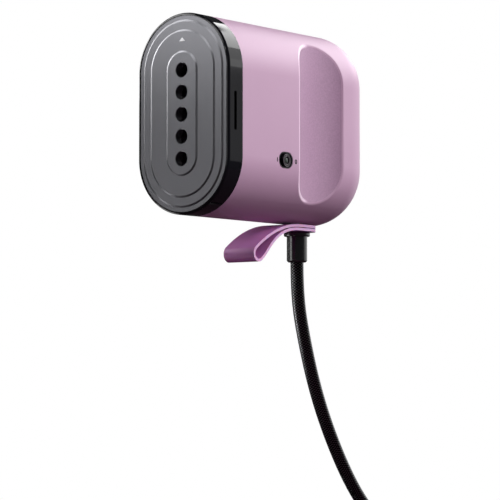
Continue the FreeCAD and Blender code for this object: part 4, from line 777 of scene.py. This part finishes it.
def dress_spring():
    """The pump's return spring, with closed ends."""
    low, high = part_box("pump_spring")
    rings = [ring_round(place, side, up, [SPRING_WIRE] * SPRING_SIDES)
             for place, side, up in frames_along(spring_points(low, high))]
    spring = tube_of_rings("pump_return_spring", rings, [MM * number for number in range(len(rings))])
    steel = grained("spring_steel", (0.55, 0.54, 0.52), 0.3, grain=0.2 * MM, depth=0.002 * MM, Metallic=1.0)
    spring.data.materials.append(steel)
    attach(spring, "housing")
    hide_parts("pump_spring")
    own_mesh(spring)


# Studio.

WHITE = (1, 1, 1, 1)
FLOOR_HEIGHT = -0.2452
FLOOR_REACH = 0.85
FLOOR_SIDES = 96
FLOOR_PALE = (0.8, 0.8, 0.8, 1)
FLOOR_GLOW = 0.5
# Where the floor passes into plain white, as shares of its reach.
FLOOR_SLOPE = (0.3, 0.65)
# The floor as it lights the object, and as glossy surfaces see it.
FLOOR_DIM = (0.11, 0.045, 0.085, 1)
FLOOR_DARK = (0.04, 0.02, 0.03, 1)


def seen_directly(tree, path):
    """1 for what the camera sees, also through clear stuff."""
    return math_node(tree, "MAXIMUM", path.outputs["Is Camera Ray"], path.outputs["Is Transmission Ray"])


def seen_floor(tree):
    """A white surface that shows the shadows near the object, and plain white further out."""
    near = add(tree, "AddShader")
    tree.links.new(add(tree, "BsdfDiffuse", Color=FLOOR_PALE).outputs[0], near.inputs[0])
    tree.links.new(add(tree, "Emission", Strength=FLOOR_GLOW).outputs[0], near.inputs[1])
    far = add(tree, "Emission", Strength=1.0)
    reach = add(tree, "VectorMath", operation="LENGTH")
    tree.links.new(object_coordinates(tree), reach.inputs[0])
    share = math_node(tree, "MULTIPLY", reach.outputs["Value"], 1 / FLOOR_REACH)
    return mix_shaders(tree, between(tree, share, FLOOR_SLOPE, 0.0, 1.0), near.outputs[0], far.outputs[0])


def floor_material():
    """White to the camera, and so dim to the object that little light is thrown back up."""
    made, tree, shader = new_material("floor")
    tree.nodes.remove(shader)
    path = add(tree, "LightPath")
    dim = add(tree, "BsdfDiffuse", Color=FLOOR_DIM)
    dark = add(tree, "BsdfDiffuse", Color=FLOOR_DARK)
    thrown = mix_shaders(tree, path.outputs["Is Glossy Ray"], dim.outputs[0], dark.outputs[0])
    whole = mix_shaders(tree, seen_directly(tree, path), thrown, seen_floor(tree))
    tree.links.new(whole, tree.nodes["Material Output"].inputs[0])
    return made


def make_floor():
    """A round floor under the coil."""
    bpy.ops.mesh.primitive_circle_add(vertices=FLOOR_SIDES, radius=FLOOR_REACH, fill_type="NGON",
                                      location=(0, 0, FLOOR_HEIGHT))
    floor = bpy.context.active_object
    floor.name = "floor"
    floor.data.materials.append(floor_material())


# The studio's light from straight below and from the rest, and where one passes into the other, with 0 for
# straight down and 0.5 for level.
STUDIO_BELOW = (0.03, 0.012, 0.024)
STUDIO_LEVEL = 0.03
STUDIO_SLOPE = (0.0, 0.45)
# Where glossy surfaces see the backdrop: a direction, and the cosines at which it starts and is whole.
BACKDROP_SIDE = (0.0, 1.0, 0.05)
BACKDROP_SLOPE = (0.82, 0.97)


def backdrop_seen(tree, heading, path):
    """1 for what glossy surfaces see of the white backdrop."""
    towards = add(tree, "VectorMath", operation="DOT_PRODUCT")
    tree.links.new(heading, towards.inputs[0])
    towards.inputs[1].default_value = Vector(BACKDROP_SIDE).normalized()
    behind = between(tree, towards.outputs["Value"], BACKDROP_SLOPE, 0.0, 1.0)
    return math_node(tree, "MULTIPLY", behind, path.outputs["Is Glossy Ray"])


def make_world():
    """White to the camera. The object sees a dim studio, and glossy surfaces the white backdrop behind it."""
    world = bpy.data.worlds.new("world")
    bpy.context.scene.world = world
    world.use_nodes = True
    tree = world.node_tree
    studio = tree.nodes["Background"]
    heading = add(tree, "TexCoord").outputs["Generated"]
    height = math_node(tree, "MULTIPLY_ADD", split(tree, heading)[2], 0.5, 0.5)
    feed(tree, studio.inputs["Color"], between(tree, height, STUDIO_SLOPE, STUDIO_BELOW, STUDIO_LEVEL))
    path = add(tree, "LightPath")
    seen = math_node(tree, "MAXIMUM", seen_directly(tree, path), backdrop_seen(tree, heading, path))
    white = add(tree, "Background", Color=WHITE)
    whole = mix_shaders(tree, seen, studio.outputs[0], white.outputs[0])
    tree.links.new(whole, tree.nodes["World Output"].inputs[0])


# Each lamp's direction from the object, its distance, its width and height, its watts and its part: to fill,
# which only lights, to shine, which only shows in glossy surfaces, or both.
LAMPS = {
    "rear_high": ((0.08, 0.85, 0.52), 1.2, (0.9, 0.5), 6.4, "shine"),
    "rear_high_fill": ((0.08, 0.85, 0.52), 1.2, (0.9, 0.5), 3.0, "fill"),
    "rear_fade": ((0.60, 0.72, 0.36), 1.2, (0.35, 0.5), 0.8, "both"),
    "rear_right": ((0.66, 0.74, 0.12), 1.2, (0.5, 0.5), 0.3, "shine"),
    "fill_right_high": ((0.9, 0.15, 0.6), 1.2, (0.7, 0.5), 10.0, "fill"),
    "fill_right_low": ((1.0, 0.1, -0.1), 1.2, (0.6, 0.5), 2.1, "fill"),
    "fill_rear_right": ((0.7, 0.5, 0.5), 1.2, (0.7, 0.5), 3.5, "fill"),
    "fill_top_right": ((0.55, 0.0, 0.85), 1.1, (0.7, 0.5), 1.5, "fill"),
    "front_left_high": ((-0.61, -0.48, 0.63), 1.0, (0.4, 0.35), 3.4, "shine"),
    "front_high": ((-0.1, -0.815, 0.57), 1.0, (0.4, 0.4), 2.4, "shine"),
    "front_close": ((-0.27, -0.44, 0.17), 0.55, (0.25, 0.12), 0.5, "shine"),
    "front_fill": ((-0.4, -0.7, 0.55), 1.0, (0.5, 0.5), 3.5, "fill"),
    "front_low": ((-0.588, -0.809, 0.0), 1.2, (0.38, 0.1), 0.34, "shine"),
    "left_high": ((-0.85, -0.28, 0.42), 1.1, (0.35, 0.35), 3.0, "shine"),
    "front": ((-0.12, -0.98, 0.12), 1.2, (0.4, 0.4), 0.8, "shine"),
    "cord_low": ((-0.22, -0.12, -0.17), 0.30, (0.08, 0.12), 0.16, "shine"),
    "front_low_fill": ((-0.4, -0.8, -0.12), 1.2, (0.5, 0.3), 2.2, "fill"),
    "fill_left": ((-1.0, 0.1, 0.25), 1.2, (0.6, 0.5), 6.0, "fill"),
    "left": ((-0.96, -0.1, 0.27), 1.2, (0.35, 0.35), 4.0, "shine"),
}


def softbox(name, direction, distance, size, power, part):
    """A rectangular lamp that looks at the object."""
    data = bpy.data.lights.new(name, "AREA")
    data.shape = "RECTANGLE"
    data.size, data.size_y = size
    data.energy = power
    lamp = link_piece(name, data)
    lamp.location = Vector(direction).normalized() * distance
    lamp.rotation_euler = (-lamp.location).to_track_quat("-Z", "Y").to_euler()
    lamp.visible_camera = False
    lamp.visible_glossy = part != "fill"
    lamp.visible_diffuse = part != "shine"


def make_lights():
    """All the lamps."""
    for name, values in LAMPS.items():
        softbox(name, *values)


def main():
    """The camera, the cord, the looks and the studio."""
    make_camera()
    materials = {**outer_materials(), **inner_materials()}
    make_cord(materials["cord_braid"])
    dress_nodes(materials)
    make_prints()
    dress_switch()
    dress_spring()
    make_floor()
    make_world()
    make_lights()
    bpy.context.scene.view_settings.view_transform = "Standard"


main()
